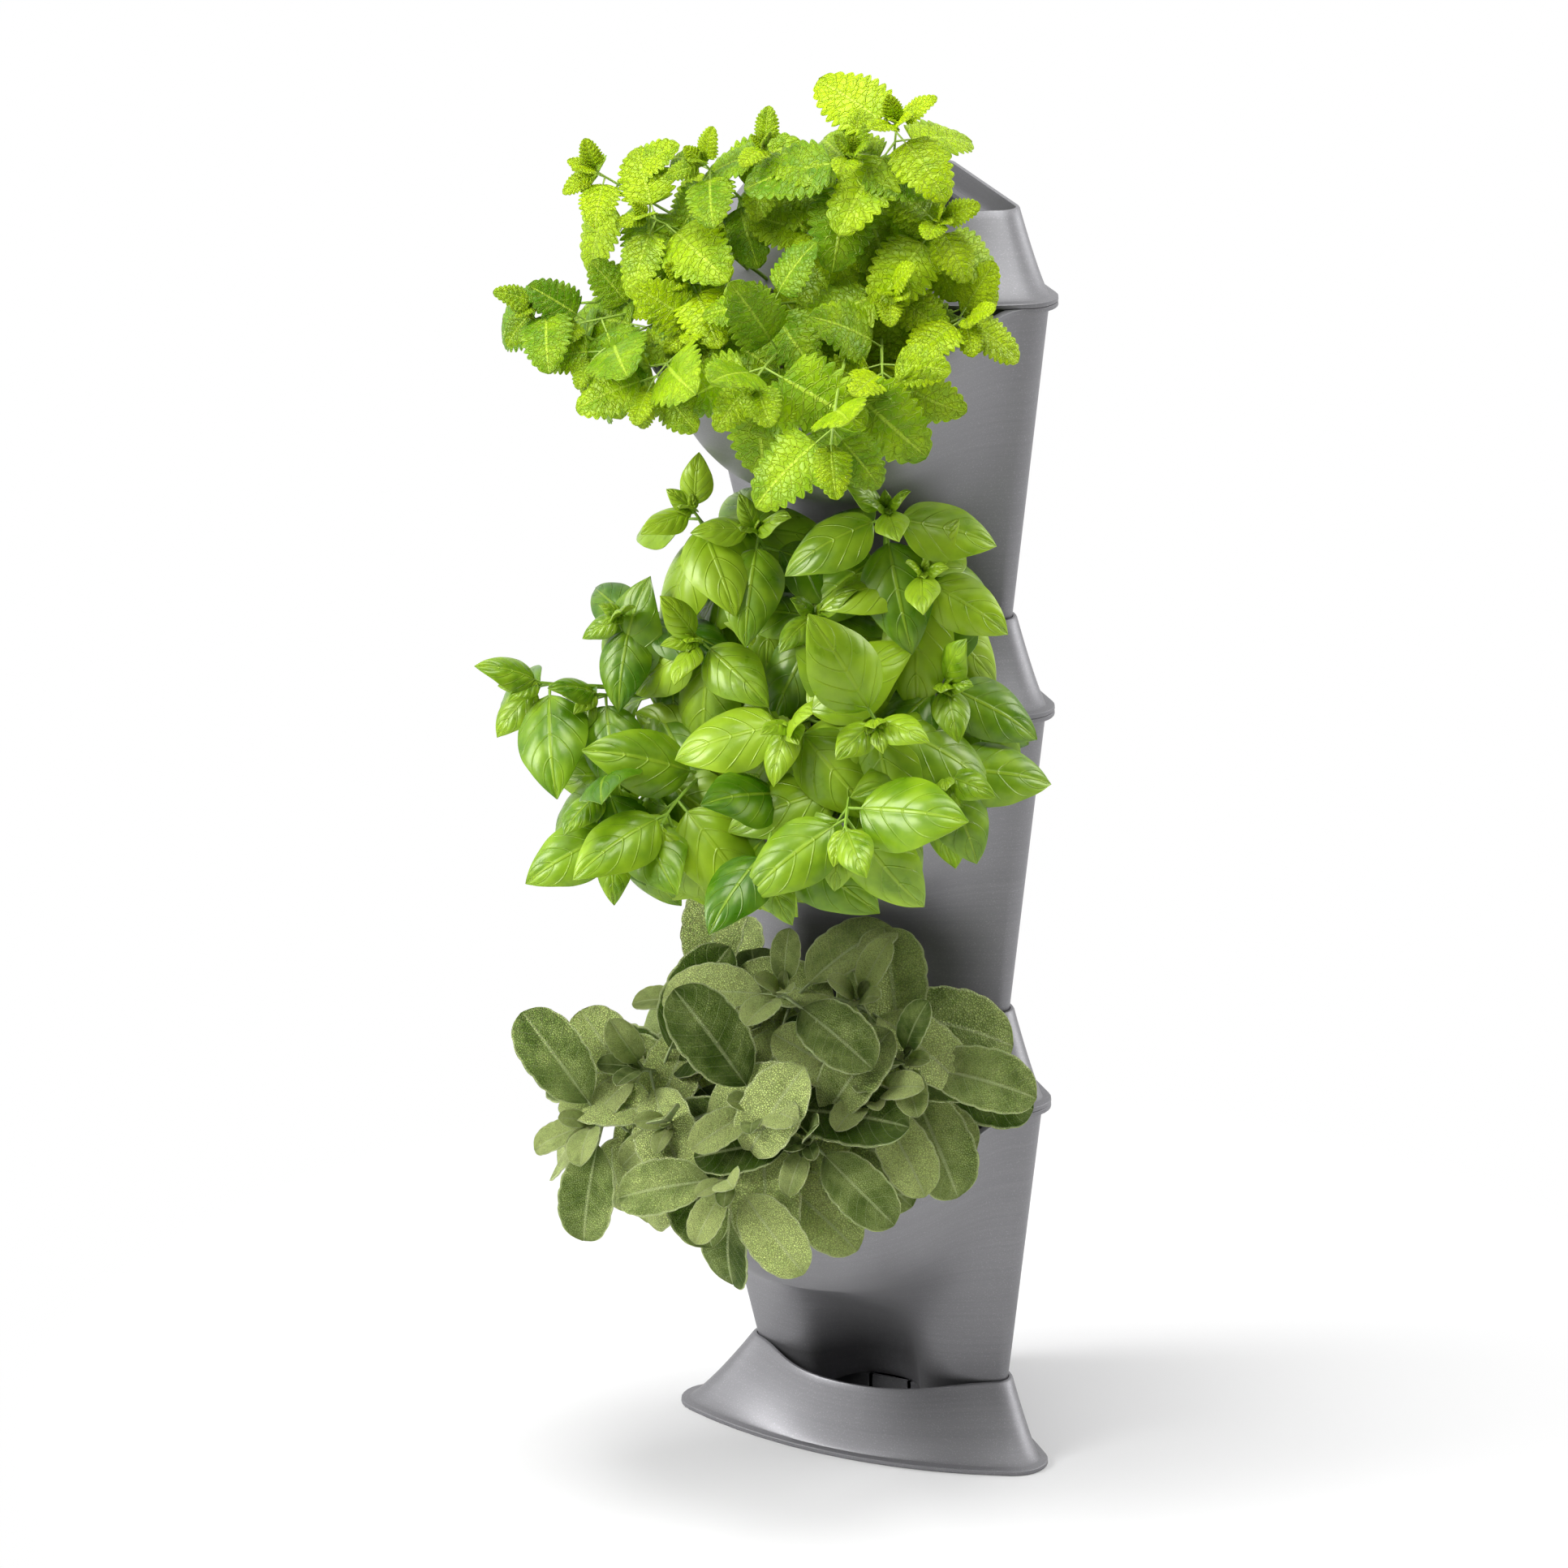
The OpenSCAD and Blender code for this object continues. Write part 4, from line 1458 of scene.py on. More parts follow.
@dataclass
class Herb:
    """A potted herb: square stems with opposite pairs of leaves."""

    kind: Species
    level: int
    sizes: Sizes
    bounds: Bounds
    first_seed: int = 11
    plant_r: float = 150
    rise_over_share: float = 0.04
    rise_rim_share: float = 1.53
    rise_less_share: float = 0.16
    foot_spread_share: float = 0.28
    foot_back_share: float = 0.85
    reach_share: float = 0.8
    sag_share: float = 0.05
    stem_steps: int = 18
    stem_sides: int = 12
    stem_sunk: float = 2
    stem_square: float = 0.13
    wobble_share: float = 0.06
    wobble_turn: float = 9
    stem_tip_share: float = 0.4
    stalk_steps: int = 7
    stalk_sides: int = 7
    stalk_least: float = 0.7
    stalk_drop: float = 0.4
    stalk_sink: float = 0.9
    stalk_foot: float = 1.15
    stalk_taper: float = 0.4
    stalk_point: float = 0.75
    room: float = 1.2
    room_sides: tuple[float, float] = (0.5, -1.5)
    shell_steps: int = 18
    shell_halves: int = 4
    young_share: float = 0.6
    young_tint: float = 0.25

    def __post_init__(self) -> None:
        """Start the plant's own random numbers and find its place."""
        self.random = random.Random(self.first_seed + self.level)
        s = self.sizes
        self.origin = Vector((0, -s.root_forward, s.foot(self.level) + s.soil_h + s.root_proud))
        self.rim_above = s.pot_h - s.soil_h - s.root_proud
        self.dropped = 0

    def stem_curve(self, shoot: Shoot) -> list[Vector]:
        """Work out the course of a shoot's stem.

        Args:
            shoot: The shoot.

        Returns:
            Four control points.
        """
        r = self.plant_r
        tip = Vector((shoot.x, shoot.y, shoot.z)) * r + UP * self.rim_above
        foot = Vector((shoot.x, shoot.y + self.foot_back_share, 0)) * (self.foot_spread_share * r)
        top = self.rim_above + self.rise_over_share * r
        rise = UP * max(self.rise_rim_share * self.rim_above - self.rise_less_share * r, tip.z / 2)
        sag = UP * max(self.sag_share * r, top - tip.z)
        curve = [foot, foot + rise, foot.lerp(tip, self.reach_share) + sag, tip]
        return [self.origin + p for p in curve]

    def stem(self, pile: Pile, curve: Sequence[Vector]) -> None:
        """Add a square stem with rounded edges.

        Args:
            pile: Pile of the plant's stems.
            curve: Control points of the stem.
        """
        across = (curve[3] - curve[0]).cross(UP)
        side = across.normalized() if across.length > 1e-3 else ALONG_X
        rows = []
        for i in range(self.stem_steps + 1):
            s = i / self.stem_steps
            up = bezier_way(curve, s).cross(side).normalized()
            middle = bezier(curve, s)
            if i == 0:
                middle = middle - UP * self.stem_sunk
            wobble = 1 + self.wobble_share * math.sin(self.wobble_turn * s + curve[0].x)
            r = self.kind.stem_r * mix(1, self.stem_tip_share, s) * wobble
            rows.append(pile.ring(circle(middle, side, up, r, self.stem_sides, self.stem_square), age=s))
        pile.tube(rows, flip=True)

    def leaf_grid(self, pose: Pose, steps: int, halves: int, wave: float) -> list[list[Vector]]:
        """Work out a leaf's upper face.

        Args:
            pose: Place, direction and length of the leaf.
            steps: Number of rows along the blade.
            halves: Number of columns on each side of the midrib.
            wave: Where the ruffle of this leaf's margin starts.

        Returns:
            Rows of points from the stalk's end to the tip, each from one margin to the other.
        """
        b = self.kind.blade
        wide = pose.long * b.width_share
        grid = []
        for i in range(steps + 1):
            share = i / steps
            u = mix(b.stalk_share, 1, share)
            late = max(0.0, u - CURL_FROM)
            spine = pose.spine(u) - pose.up * (pose.long * b.curl * late**2)
            tangent = (pose.way - pose.up * (2 * pose.bend * u + 2 * b.curl * late)).normalized()
            normal = tangent.cross(pose.across).normalized()
            if normal.dot(pose.up) < 0:
                normal = -normal
            width = b.half_width(share) * wide / 2
            row = []
            for k in range(-halves, halves + 1):
                v = k / halves
                side = v * width
                height = abs(side) * b.cup * 2 - b.dome * side * side / (wide / 2)
                vein = math.pi * (share * b.veins - b.vein_lean * abs(v) ** b.vein_bow)
                fade = (1 - abs(v) ** 6) * min(1.0, 4 * abs(v)) * min(1.0, 2 * b.half_width(share))
                height += b.puff * abs(math.sin(vein)) ** 0.8 * fade
                turn = share * b.ruffle_turn + wave + (b.ruffle_apart if v > 0 else 0)
                height += b.ruffle * wide * abs(v) ** 3 * math.sin(turn)
                row.append(spine + pose.across * side + normal * height)
            grid.append(row)
        return grid

    def leaf(self, pile: Pile, pose: Pose, wave: float, tint: float) -> None:
        """Add a leaf: a thin blade with its own underside, and its stalk.

        Args:
            pile: Pile of the plant's leaves.
            pose: Place, direction and length of the leaf.
            wave: Where the ruffle of its margin starts.
            tint: How light its green is, 0 to 1.
        """
        b = self.kind.blade
        grid = self.leaf_grid(pose, b.steps, b.halves, wave)
        size = pose.long / b.length
        thick = b.thickness * mix(b.thin_share, 1, size)
        upper, lower = [], []
        last = len(grid) - 1
        for i, row in enumerate(grid):
            ahead, behind = grid[min(i + 1, last)], grid[max(i - 1, 0)]
            down = (ahead[b.halves] - behind[b.halves]).cross(row[-1] - row[0])
            down = down.normalized() if down.length > 1e-6 else pose.up
            if down.dot(pose.up) > 0:
                down = -down
            share = i / last
            top, under = [], []
            for k, p in enumerate(row):
                v = k / (2 * b.halves)
                rib = b.rib * max(0.0, 1 - abs(2 * v - 1) * 2 * b.halves / b.rib_columns) * (1 - share)
                top.append(pile.point(p, (share, v), tint=tint, under=0.0, age=1.0))
                under.append(pile.point(p + down * (thick + rib), (share, v), tint=tint, under=1.0, age=1.0))
            upper.append(top)
            lower.append(under)
        pile.sheet(upper)
        pile.sheet(lower, flip=True)
        for edge in (0, -1):
            pile.sheet([[r[edge] for r in lower], [r[edge] for r in upper]], flip=edge == -1)
        pile.sheet([lower[0], upper[0]])
        pile.sheet([upper[-1], lower[-1]])
        self.stalk(pile, pose, size)

    def stalk(self, pile: Pile, pose: Pose, size: float) -> None:
        """Add a leaf's stalk, from the stem to a little way under the blade.

        Args:
            pile: Pile of the plant's leaves.
            pose: Place, direction and length of the leaf.
            size: The leaf's length as a share of a full-grown one's.
        """
        b = self.kind.blade
        end = b.stalk_share + b.stalk_under
        rows = []
        for i in range(self.stalk_steps + 1):
            u = end * i / self.stalk_steps
            sunk = max(0.0, u - b.stalk_share) / b.stalk_under
            spine = pose.spine(u) - pose.up * (self.stalk_drop + self.stalk_sink * sunk)
            taper = self.stalk_foot - self.stalk_taper * u / end
            r = b.stalk_r * mix(self.stalk_least, 1, size) * taper * (1 - self.stalk_point * sunk)
            ring = circle(spine, pose.across, pose.up, r, self.stalk_sides)
            rows.append(pile.ring(ring, tint=0.5, under=0.0, age=0.75))
        pile.tube(rows, 1)

    def poses(self, shoot: Shoot) -> Iterable[tuple[Pose, Vector]]:
        """Find the place of each of a shoot's leaves.

        Args:
            shoot: The shoot.

        Yields:
            The pose of a leaf, and the stem's direction there.
        """
        b = self.kind.blade
        curve = self.stem_curve(shoot)
        h = curve[3] - curve[0]
        side = Vector((-h.y, h.x, 0)).normalized()
        rows = [(-n, 1.0, size, BUD_STEEP) for n, size in enumerate(BUD_SIZES, 1)]
        inner = b.inner_pairs if shoot.pairs > 1 else 0
        last = min(len(PAIR_PLACE_SHARES) - 1, shoot.pairs + inner)
        pairs = zip(range(last + 1), PAIR_PLACE_SHARES, PAIR_SIZE_SHARES, PAIR_STEEP_SHARES)
        for k, s, size, steep in (*rows, *pairs):
            way = bezier_way(curve, s)
            up = way.cross(side)
            for half in (0, 180):
                play = self.random.uniform(-ANGLE_PLAY, ANGLE_PLAY)
                angle = math.radians(90 * (shoot.turn + k) + half + play)
                out = side * math.cos(angle) + up * math.sin(angle)
                leaf_way = (way * steep + out - UP * b.sag).normalized()
                light = way.lerp(LIGHT, b.turn_share)
                leaf_up = (light - leaf_way * light.dot(leaf_way)).normalized()
                long = b.length * size * shoot.size * self.random.uniform(b.least_size, GREATEST_SIZE)
                bend = b.bend * self.random.uniform(*BEND_RANGE)
                pose = Pose(bezier(curve, s), leaf_way, leaf_up, long, bend)
                yield pose.turned(leaf_way, self.random.uniform(-ROLL_PLAY, ROLL_PLAY)), way

    def shell(self, pose: Pose, wave: float) -> tuple[list[Vector], list[tuple[int, ...]]]:
        """Wrap a leaf and its stalk in coarse sheets that stand a little way off.

        Args:
            pose: Place, direction and length of the leaf.
            wave: Where the ruffle of its margin starts.

        Returns:
            The sheets' points, and their faces as numbers of points.
        """
        b = self.kind.blade
        across = pose.across * self.room
        count = self.shell_halves
        stalk = [pose.spine((b.stalk_share + b.stalk_under) * i / count) for i in range(count + 1)]
        grid = self.leaf_grid(pose, self.shell_steps, count, wave)
        grid = [[row[0] - across, *row[1:-1], row[-1] + across] for row in grid]
        sheets = [[[p - across, p + across] for p in stalk]]
        for side in self.room_sides:
            sheets.append([[p + pose.up * (side * self.room) for p in row] for row in grid])
        pile = Pile()
        for rows in sheets:
            pile.sheet([pile.ring(row) for row in rows])
        return pile.points, pile.faces

    def fitted(self, pose: Pose, way: Vector, wave: float) -> Optional[Pose]:
        """Turn or shorten a leaf until it touches no moulding.

        Args:
            pose: The leaf as it would grow freely.
            way: Direction of its stem, the axis that it turns about.
            wave: Where the ruffle of its margin starts.

        Returns:
            The nearest free pose, or None where there is no room.
        """
        for size in TRIAL_SIZES:
            for degrees in TRIAL_TURNS:
                trial = pose.turned(way, degrees, size)
                if self.bounds.clear(*self.shell(trial, wave)):
                    return trial
        self.dropped += 1
        return None

    def build(self) -> tuple[bpy.types.Object, bpy.types.Object]:
        """Grow the plant.

        Returns:
            Its stems and its leaves.
        """
        stems, leaves = Pile(), Pile()
        b = self.kind.blade
        for shoot in self.kind.shoots:
            self.stem(stems, self.stem_curve(shoot))
            shade = self.random.uniform(*SHADE_RANGE)
            for pose, way in self.poses(shoot):
                wave = self.random.uniform(*WAVE_RANGE)
                tint = shade + self.random.uniform(-b.tint_spread, b.tint_spread)
                tint = min(1.0, max(0.0, tint))
                if pose.long < b.length * self.young_share:
                    tint = min(1.0, tint + self.young_tint)
                fitted = self.fitted(pose, way, wave)
                if fitted:
                    self.leaf(leaves, fitted, wave, tint)
        leaf, stem = self.kind.leaf.material(), self.kind.stem.material()
        return (
            stems.piece(self.kind.name + "_stalks", [stem]),
            leaves.piece(self.kind.name + "_foliage", [leaf, stem], 75),
        )


SAGE = Species(
    name="sage",
    blade=Blade(
        length=84,
        width_share=0.51,
        stalk_share=0.2,
        outline=(
            (0, 0.05), (0.06, 0.34), (0.2, 0.76), (0.4, 0.96), (0.6, 1),
            (0.76, 0.92), (0.88, 0.72), (0.96, 0.42), (1, 0.05),
        ),
        bend=0.24,
        cup=0.16,
        dome=0.1,
        curl=0.25,
        teeth=38,
        tooth_depth=0.045,
        veins=9,
        puff=0.25,
        ruffle=0.012,
        steps=44,
        thickness=0.7,
        stalk_r=1.0,
        sag=0.35,
        tint_spread=0.5,
    ),
    shoots=shoots(
        (-0.50, -0.74, 0.26, 0.9, 1.05, 3),
        (0.06, -0.86, 0.24, 0.3, 1.1, 3),
        (0.27, -0.42, 0.56, 0.7, 1.05, 2),
        (0.50, -0.50, 0.38, 1.0, 1.0, 3),
        (0.42, -0.62, 0.28, 0.4, 0.9, 3),
        (-0.38, -0.48, 0.46, 0.2, 1.0, 2),
        (-0.30, -0.88, 0.12, 0.6, 1.0, 3),
        (-0.62, -0.92, 0.08, 0.2, 0.95, 2),
        (0.02, -1.04, 0.00, 0.8, 0.95, 2),
        (-0.10, -0.55, 0.42, 1.3, 0.8, 2),
        (0.04, -0.60, 0.62, 0.9, 0.95, 2),
        (0.27, -0.86, 0.14, 0.8, 0.85, 2),
    ),
    leaf=LeafFinish(
        "sage_leaf",
        dark=(0.05, 0.105, 0.0),
        light=(0.82, 0.99, 0.33),
        vein=(0.72, 0.84, 0.38),
        under=(0.5, 0.58, 0.3),
        pattern=Pattern.PEBBLED,
        roughness=0.62,
        gloss=0.08,
        gloss_color=(0.9, 1.0, 0.6),
        veins=9,
        relief=0.0022,
        sheen=0.06,
        rim=0.8,
    ),
    stem=StemFinish("sage_stem", (0.4, 0.48, 0.2), (0.34, 0.42, 0.18)),
    stem_r=2.2,
)
BASIL = Species(
    name="basil",
    blade=Blade(
        length=70,
        width_share=0.6,
        stalk_share=0.13,
        outline=(
            (0, 0.04), (0.05, 0.42), (0.15, 0.78), (0.3, 0.98), (0.4, 1),
            (0.6, 0.9), (0.78, 0.62), (0.9, 0.34), (1, 0.01),
        ),
        bend=0.24,
        cup=0.05,
        dome=0.42,
        curl=0.6,
        veins=4.5,
        puff=0.75,
        ruffle=0.012,
        steps=32,
        halves=8,
        thickness=0.5,
        stalk_r=0.9,
        sag=0.6,
    ),
    shoots=shoots(
        (0.41, -0.46, 0.94, 1.1, 1.05, 3),
        (0.54, -0.42, 0.70, 0.8, 0.95, 2),
        (-0.38, -0.50, 0.84, 0.9, 1.0, 3),
        (-0.12, -0.50, 0.80, 0.3, 1.0, 2),
        (0.64, -0.43, 0.28, 1.0, 1.05, 3),
        (0.52, -0.78, 0.22, 0.2, 1.1, 2),
        (0.19, -0.83, 0.18, 0.8, 1.1, 3),
        (-0.28, -0.67, 0.39, 1.2, 0.95, 2),
        (-0.66, -0.77, 0.15, 0.9, 0.95, 2),
        (-0.88, -0.82, 0.18, 1.0, 1.15, 1),
        (-0.60, -0.66, 0.44, 0.5, 0.8, 2),
        (-0.22, -1.10, -0.20, 0.1, 1.05, 3),
        (-0.52, -1.03, -0.14, 0.9, 0.95, 2),
        (-0.42, -1.10, -0.30, 0.4, 0.95, 2),
        (0.51, -1.02, -0.12, 0.7, 1.1, 2),
        (0.20, -1.08, -0.30, 0.2, 1.0, 2),
        (-0.02, -0.96, -0.34, 0.9, 0.95, 2),
        (0.72, -0.60, -0.02, 0.4, 0.95, 2),
        (0.16, -0.55, 0.52, 0.6, 0.9, 2),
    ),
    leaf=LeafFinish(
        "basil_leaf",
        dark=(0.045, 0.155, 0.0),
        light=(0.38, 0.6, 0.02),
        vein=(0.42, 0.62, 0.03),
        under=(0.3, 0.46, 0.03),
        pattern=Pattern.SMOOTH,
        roughness=0.3,
        gloss=0.55,
        gloss_color=(0.95, 1.0, 0.7),
        veins=4.5,
        relief=0.0012,
    ),
    stem=StemFinish("basil_stem", (0.3, 0.5, 0.03), (0.32, 0.54, 0.05)),
    stem_r=2.1,
)
BALM = Species(
    name="balm",
    blade=Blade(
        length=60,
        width_share=0.7,
        stalk_share=0.2,
        outline=(
            (0, 0.1), (0.04, 0.6), (0.12, 0.9), (0.25, 1), (0.45, 0.97),
            (0.65, 0.84), (0.82, 0.62), (0.94, 0.36), (1, 0.06),
        ),
        bend=0.2,
        cup=0.04,
        dome=0.12,
        curl=0.25,
        teeth=9,
        tooth_depth=0.2,
        veins=7,
        puff=0.95,
        ruffle=0.02,
        steps=63,
        halves=6,
        thickness=0.4,
        stalk_r=0.6,
        sag=0.5,
        least_size=0.66,
    ),
    shoots=shoots(
        (0.21, -0.33, 0.62, 0.9, 1.1, 2),
        (0.36, -0.27, 0.74, 0.4, 1.1, 2),
        (-0.14, -0.35, 0.62, 1.1, 0.9, 2),
        (-0.37, -0.40, 0.54, 0.7, 0.9, 2),
        (-0.79, -0.47, 0.48, 0.9, 1.0, 2),
        (-0.54, -0.53, 0.35, 0.2, 1.0, 2),
        (-0.90, -0.75, 0.02, 1.0, 1.0, 1),
        (-0.74, -0.72, -0.04, 0.1, 0.95, 2),
        (-0.64, -0.80, -0.14, 0.5, 1.0, 2),
        (0.01, -0.67, 0.11, 0.8, 1.0, 2),
        (0.12, -0.97, -0.09, 0.1, 1.1, 2),
        (0.47, -1.05, -0.26, 0.9, 1.1, 2),
        (0.40, -0.40, 0.14, 0.9, 1.05, 2),
        (0.54, -0.28, 0.40, 0.3, 0.95, 2),
        (0.66, -0.30, 0.04, 0.8, 0.8, 2),
        (0.49, -0.66, -0.12, 0.2, 0.9, 2),
        (0.09, -0.35, 0.31, 0.6, 0.95, 2),
        (-0.36, -0.58, 0.13, 1.0, 0.9, 2),
        (-0.28, -0.66, -0.02, 0.3, 0.9, 2),
        (-0.36, -0.88, -0.19, 0.6, 1.0, 2),
    ),
    leaf=LeafFinish(
        "balm_leaf",
        dark=(0.09, 0.25, 0.0),
        light=(0.53, 0.79, 0.0),
        vein=(0.6, 0.85, 0.06),
        under=(0.46, 0.66, 0.06),
        pattern=Pattern.NETTED,
        roughness=0.34,
        gloss=0.4,
        gloss_color=(0.95, 1.0, 0.6),
        veins=7,
        relief=0.0014,
    ),
    stem=StemFinish("balm_stem", (0.36, 0.55, 0.05), (0.42, 0.62, 0.08)),
    stem_r=1.3,
)


# --- Studio --------------------------------------------------------------------------------


@dataclass(frozen=True)
class Lamp:
    """A round soft lamp."""

    name: str
    place: Point
    size: float
    power: float


LAMPS = (
    Lamp("key", (-2.3, -1.9, 2.2), 1.8, 92),
    Lamp("fill", (2.3, 1.7, 1.9), 1.8, 46),
    Lamp("top", (0.0, -0.6, 3.0), 1.6, 46),
)


@dataclass
class Studio:
    """The floor, the soft lights and the camera."""

    turn: float = 25.72
    tilt: float = 19.75
    reach: float = 4.0
    aim: Point = (0, 0, 0.385)
    lens: float = 154.6
    sensor: float = 36
    shift: tuple[float, float] = (-0.0639, 0.024)
    lamp_aim: Point = (0, -0.05, 0.42)
    room_light: float = 0.4
    dim_turn: float = 28
    dim_share: float = 0.15
    dim_edge: tuple[float, float] = (0.2, 0.85)
    paper: Color = (0.95, 0.95, 0.95)
    paper_roughness: float = 0.8
    fade: tuple[float, float] = (0.16, 0.55)
    floor_half: float = 6000

    @property
    def viewer(self) -> Vector:
        """Return the direction from the tower to the camera."""
        turn, tilt = math.radians(self.turn), math.radians(self.tilt)
        return Vector((math.cos(tilt) * math.sin(turn), -math.cos(tilt) * math.cos(turn), math.sin(tilt)))

    def aimed(self, data: bpy.types.ID, place: Vector, at: Vector) -> bpy.types.Object:
        """Put a lamp or the camera in its place, and turn it towards a point.

        Args:
            data: The lamp's or the camera's data.
            place: Its place in metres.
            at: The point that it looks at.

        Returns:
            Its object.
        """
        item = shown(data.name, data)
        item.location = place
        item.rotation_euler = (at - item.location).to_track_quat("-Z", "Y").to_euler()
        return item

    def camera(self) -> None:
        """Set the camera to the angle that the tower is seen from."""
        data = bpy.data.cameras.new("camera")
        data.sensor_width, data.lens = self.sensor, self.lens
        data.shift_x, data.shift_y = self.shift
        aim = Vector(self.aim)
        bpy.context.scene.camera = self.aimed(data, aim + self.viewer * self.reach, aim)

    def lamp(self, lamp: Lamp) -> None:
        """Add a soft lamp that looks at the tower's middle.

        Args:
            lamp: Its place, size and power.
        """
        data = bpy.data.lights.new(lamp.name, "AREA")
        data.shape, data.size, data.energy = "DISK", lamp.size, lamp.power
        self.aimed(data, Vector(lamp.place), Vector(self.lamp_aim))

    def world(self) -> None:
        """Light the room softly, with white behind the tower, also where the tower mirrors it."""
        s = Shader("room", world=True)
        path = s.add("ShaderNodeLightPath")
        way = s.add("ShaderNodeTexCoord")["Generated"]
        level = Vector((self.viewer.x, self.viewer.y, 0)).normalized()
        dim = Matrix.Rotation(math.radians(self.dim_turn), 3, "Z") @ level
        front = s.vector("DOT_PRODUCT", way, dim, output="Value")
        shade = 1 - front.step(*self.dim_edge) * (1 - self.dim_share)
        inner = s.either(path["Is Glossy Ray"], s.glow(shade * self.room_light), s.glow(shade))
        seen = path["Is Camera Ray"].at_least(path["Is Transmission Ray"])
        s.add("ShaderNodeOutputWorld", {"Surface": s.either(seen, inner, s.glow(1.0))})
        bpy.context.scene.world = s.owner

    def floor(self) -> bpy.types.Object:
        """Lay a pale floor that keeps the tower's shadow and fades to white.

        Returns:
            The floor.
        """
        s = Shader("floor")
        path = s.add("ShaderNodeLightPath")
        far = s.vector("LENGTH", s.add("ShaderNodeTexCoord")["Object"], output="Value")
        sockets = {"Base Color": self.paper, "Roughness": self.paper_roughness}
        paper = s.add("ShaderNodeBsdfPrincipled", sockets)["BSDF"]
        white = s.add("ShaderNodeEmission", {"Color": WHITE, "Strength": 1.0})["Emission"]
        seen = path["Is Camera Ray"].at_least(path["Is Glossy Ray"]).at_least(path["Is Transmission Ray"])
        surface = s.either(seen * far.step(*self.fade), paper, white)
        s.add("ShaderNodeOutputMaterial", {"Surface": surface})
        pile = Pile()
        steps = (-self.floor_half, 0, self.floor_half)
        pile.sheet([pile.ring(Vector((x, y, 0)) for x in steps) for y in steps])
        return pile.piece("floor", [s.owner])

    def build(self) -> None:
        """Set up the whole studio."""
        self.camera()
        self.world()
        for lamp in LAMPS:
            self.lamp(lamp)
        self.floor()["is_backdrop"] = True


# --- The tower -----------------------------------------------------------------------------

LEVELS = ("lower", "middle", "upper")
LINKS = ("link_lower", "link_middle", "cap")
COLLARS = ("collar_lower", "collar_middle", "collar_top")
HERBS = (SAGE, BASIL, BALM)
LIFT_STEPS = 6


def settle(item: bpy.types.Object, body: str, nodes: Sequence[str]) -> None:
    """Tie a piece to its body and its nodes.

    Args:
        item: The piece.
        body: Body that it moves with.
        nodes: Nodes that it stands for.
    """
    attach(item, body)
    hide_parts(*nodes)
    LOG.info("%s: %d points on %s", item.name, len(item.data.vertices), body)


def tree_of(item: bpy.types.Object, lift: float = 0.0) -> BVHTree:
    """Return a search tree of a piece's faces in millimetres, lifted by a height."""
    points = [v.co * PER_METRE + UP * lift for v in item.data.vertices]
    return BVHTree.FromPolygons(points, [tuple(p.vertices) for p in item.data.polygons])


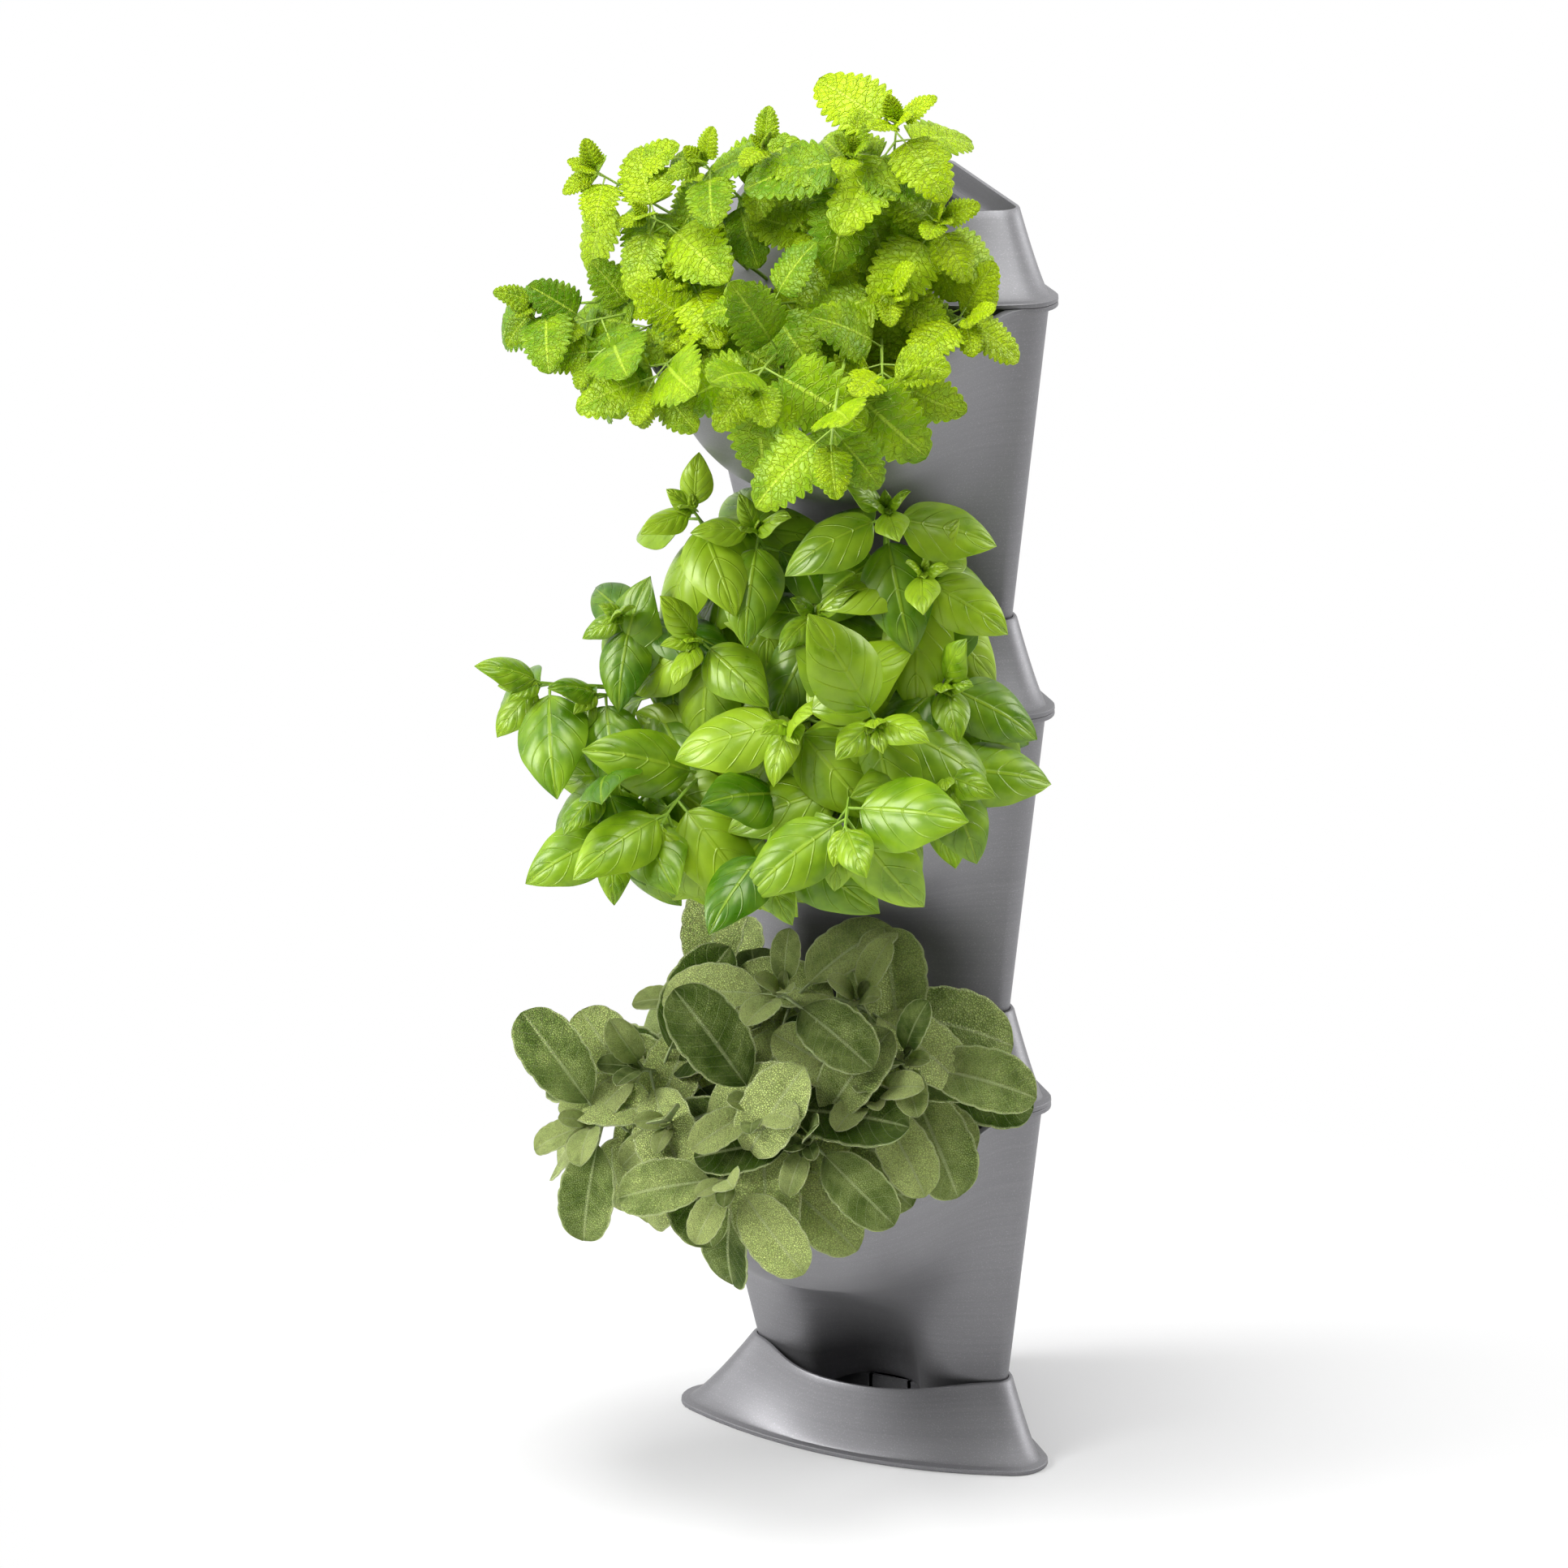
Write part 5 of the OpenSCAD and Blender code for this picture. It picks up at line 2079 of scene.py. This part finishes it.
@dataclass
class Tower:
    """The whole tower: tray, pots, collars, soil and herbs."""

    sizes: Sizes = Sizes()
    boundary_drop: float = 88
    boundary_tilt: float = 10
    gap: float = 0.8

    def boundary(self, level: int, shift: float) -> Optional[Plane]:
        """Work out the boundary between a level's plant and the one above it.

        Args:
            level: The lower of the two levels.
            shift: How far upwards to move the boundary.

        Returns:
            A point and the upward direction, or None outside the tower.
        """
        if not 0 <= level < len(LEVELS) - 1:
            return None
        s = self.sizes
        tilt = math.radians(self.boundary_tilt)
        at = Vector((0, -s.lip_reach, s.rim(level) + s.level_pitch - self.boundary_drop))
        up = Vector((0, -math.sin(tilt), math.cos(tilt)))
        return at + up * shift, up

    def bounds(self, level: int, pots: Sequence, collars: Sequence) -> Bounds:
        """Find what a level's plant keeps clear of.

        Args:
            level: The level.
            pots: The three pots.
            collars: The three collars.

        Returns:
            Its pot, what lifts off above it, and the planes towards its neighbours.
        """
        obstacles = [tree_of(pots[level])]
        above = [collars[level], *pots[level + 1 : level + 2]]
        for step in range(LIFT_STEPS + 1):
            obstacles += [tree_of(item, self.sizes.lift * step / LIFT_STEPS) for item in above]
        return Bounds(obstacles, self.boundary(level - 1, self.gap), self.boundary(level, -self.gap))

    def moulded(self, maker: Union[Pot, Collar], made: list[bpy.types.Object], name: str) -> bpy.types.Object:
        """Add the next of a row of equal mouldings.

        Args:
            maker: Builds the lowest one.
            made: Those that stand already, lowest first.
            name: Name of the next one.

        Returns:
            The new moulding, which is also added to the row.
        """
        height = len(made) * self.sizes.level_pitch
        made.append(raised(made[0], name, height) if made else maker.build(name))
        return made[-1]

    def build(self) -> None:
        """Build every piece of the tower."""
        m = Moulding(self.sizes)
        plastic = SilverPlastic().material()
        soil = Soil(m, SOIL.material(), ROOTS.material())
        pot, collar = Pot(m, plastic), Collar(m, plastic)
        settle(DripTray(m, plastic).build("tray_moulding"), "base", ["drip_tray"])
        pots, collars = [], []
        for level, (name, link, node) in enumerate(zip(LEVELS, LINKS, COLLARS)):
            item = self.moulded(pot, pots, "pot_moulding_" + name)
            settle(item, name, ["pot_" + name])
            item = self.moulded(collar, collars, node.replace("collar", "collar_moulding"))
            settle(item, link, [node])
            settle(soil.build("soil_bed_" + name, level), name, ["soil_" + name])
            settle(soil.root_ball("root_crown_" + name, level), name, ["root_ball_" + name])
        for level, (body, kind) in enumerate(zip(LEVELS, HERBS)):
            herb = Herb(kind, level, self.sizes, self.bounds(level, pots, collars))
            stalks, foliage = herb.build()
            settle(stalks, body, [kind.name + "_stems"])
            settle(foliage, body, [kind.name + "_leaves", kind.name + "_tips"])
            LOG.info("%s: %d leaves had no room", kind.name, herb.dropped)


def main() -> None:
    """Build the studio and the tower, and work out the boxes of both models."""
    logging.basicConfig(level=logging.INFO, format="%(message)s")
    bpy.context.scene.view_settings.view_transform = "Standard"
    Studio().build()
    Tower().build()
    [[list(map(float, corner)) for corner in box] for box in (CAD_BOX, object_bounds())]


if __name__ == "__main__":
    main()
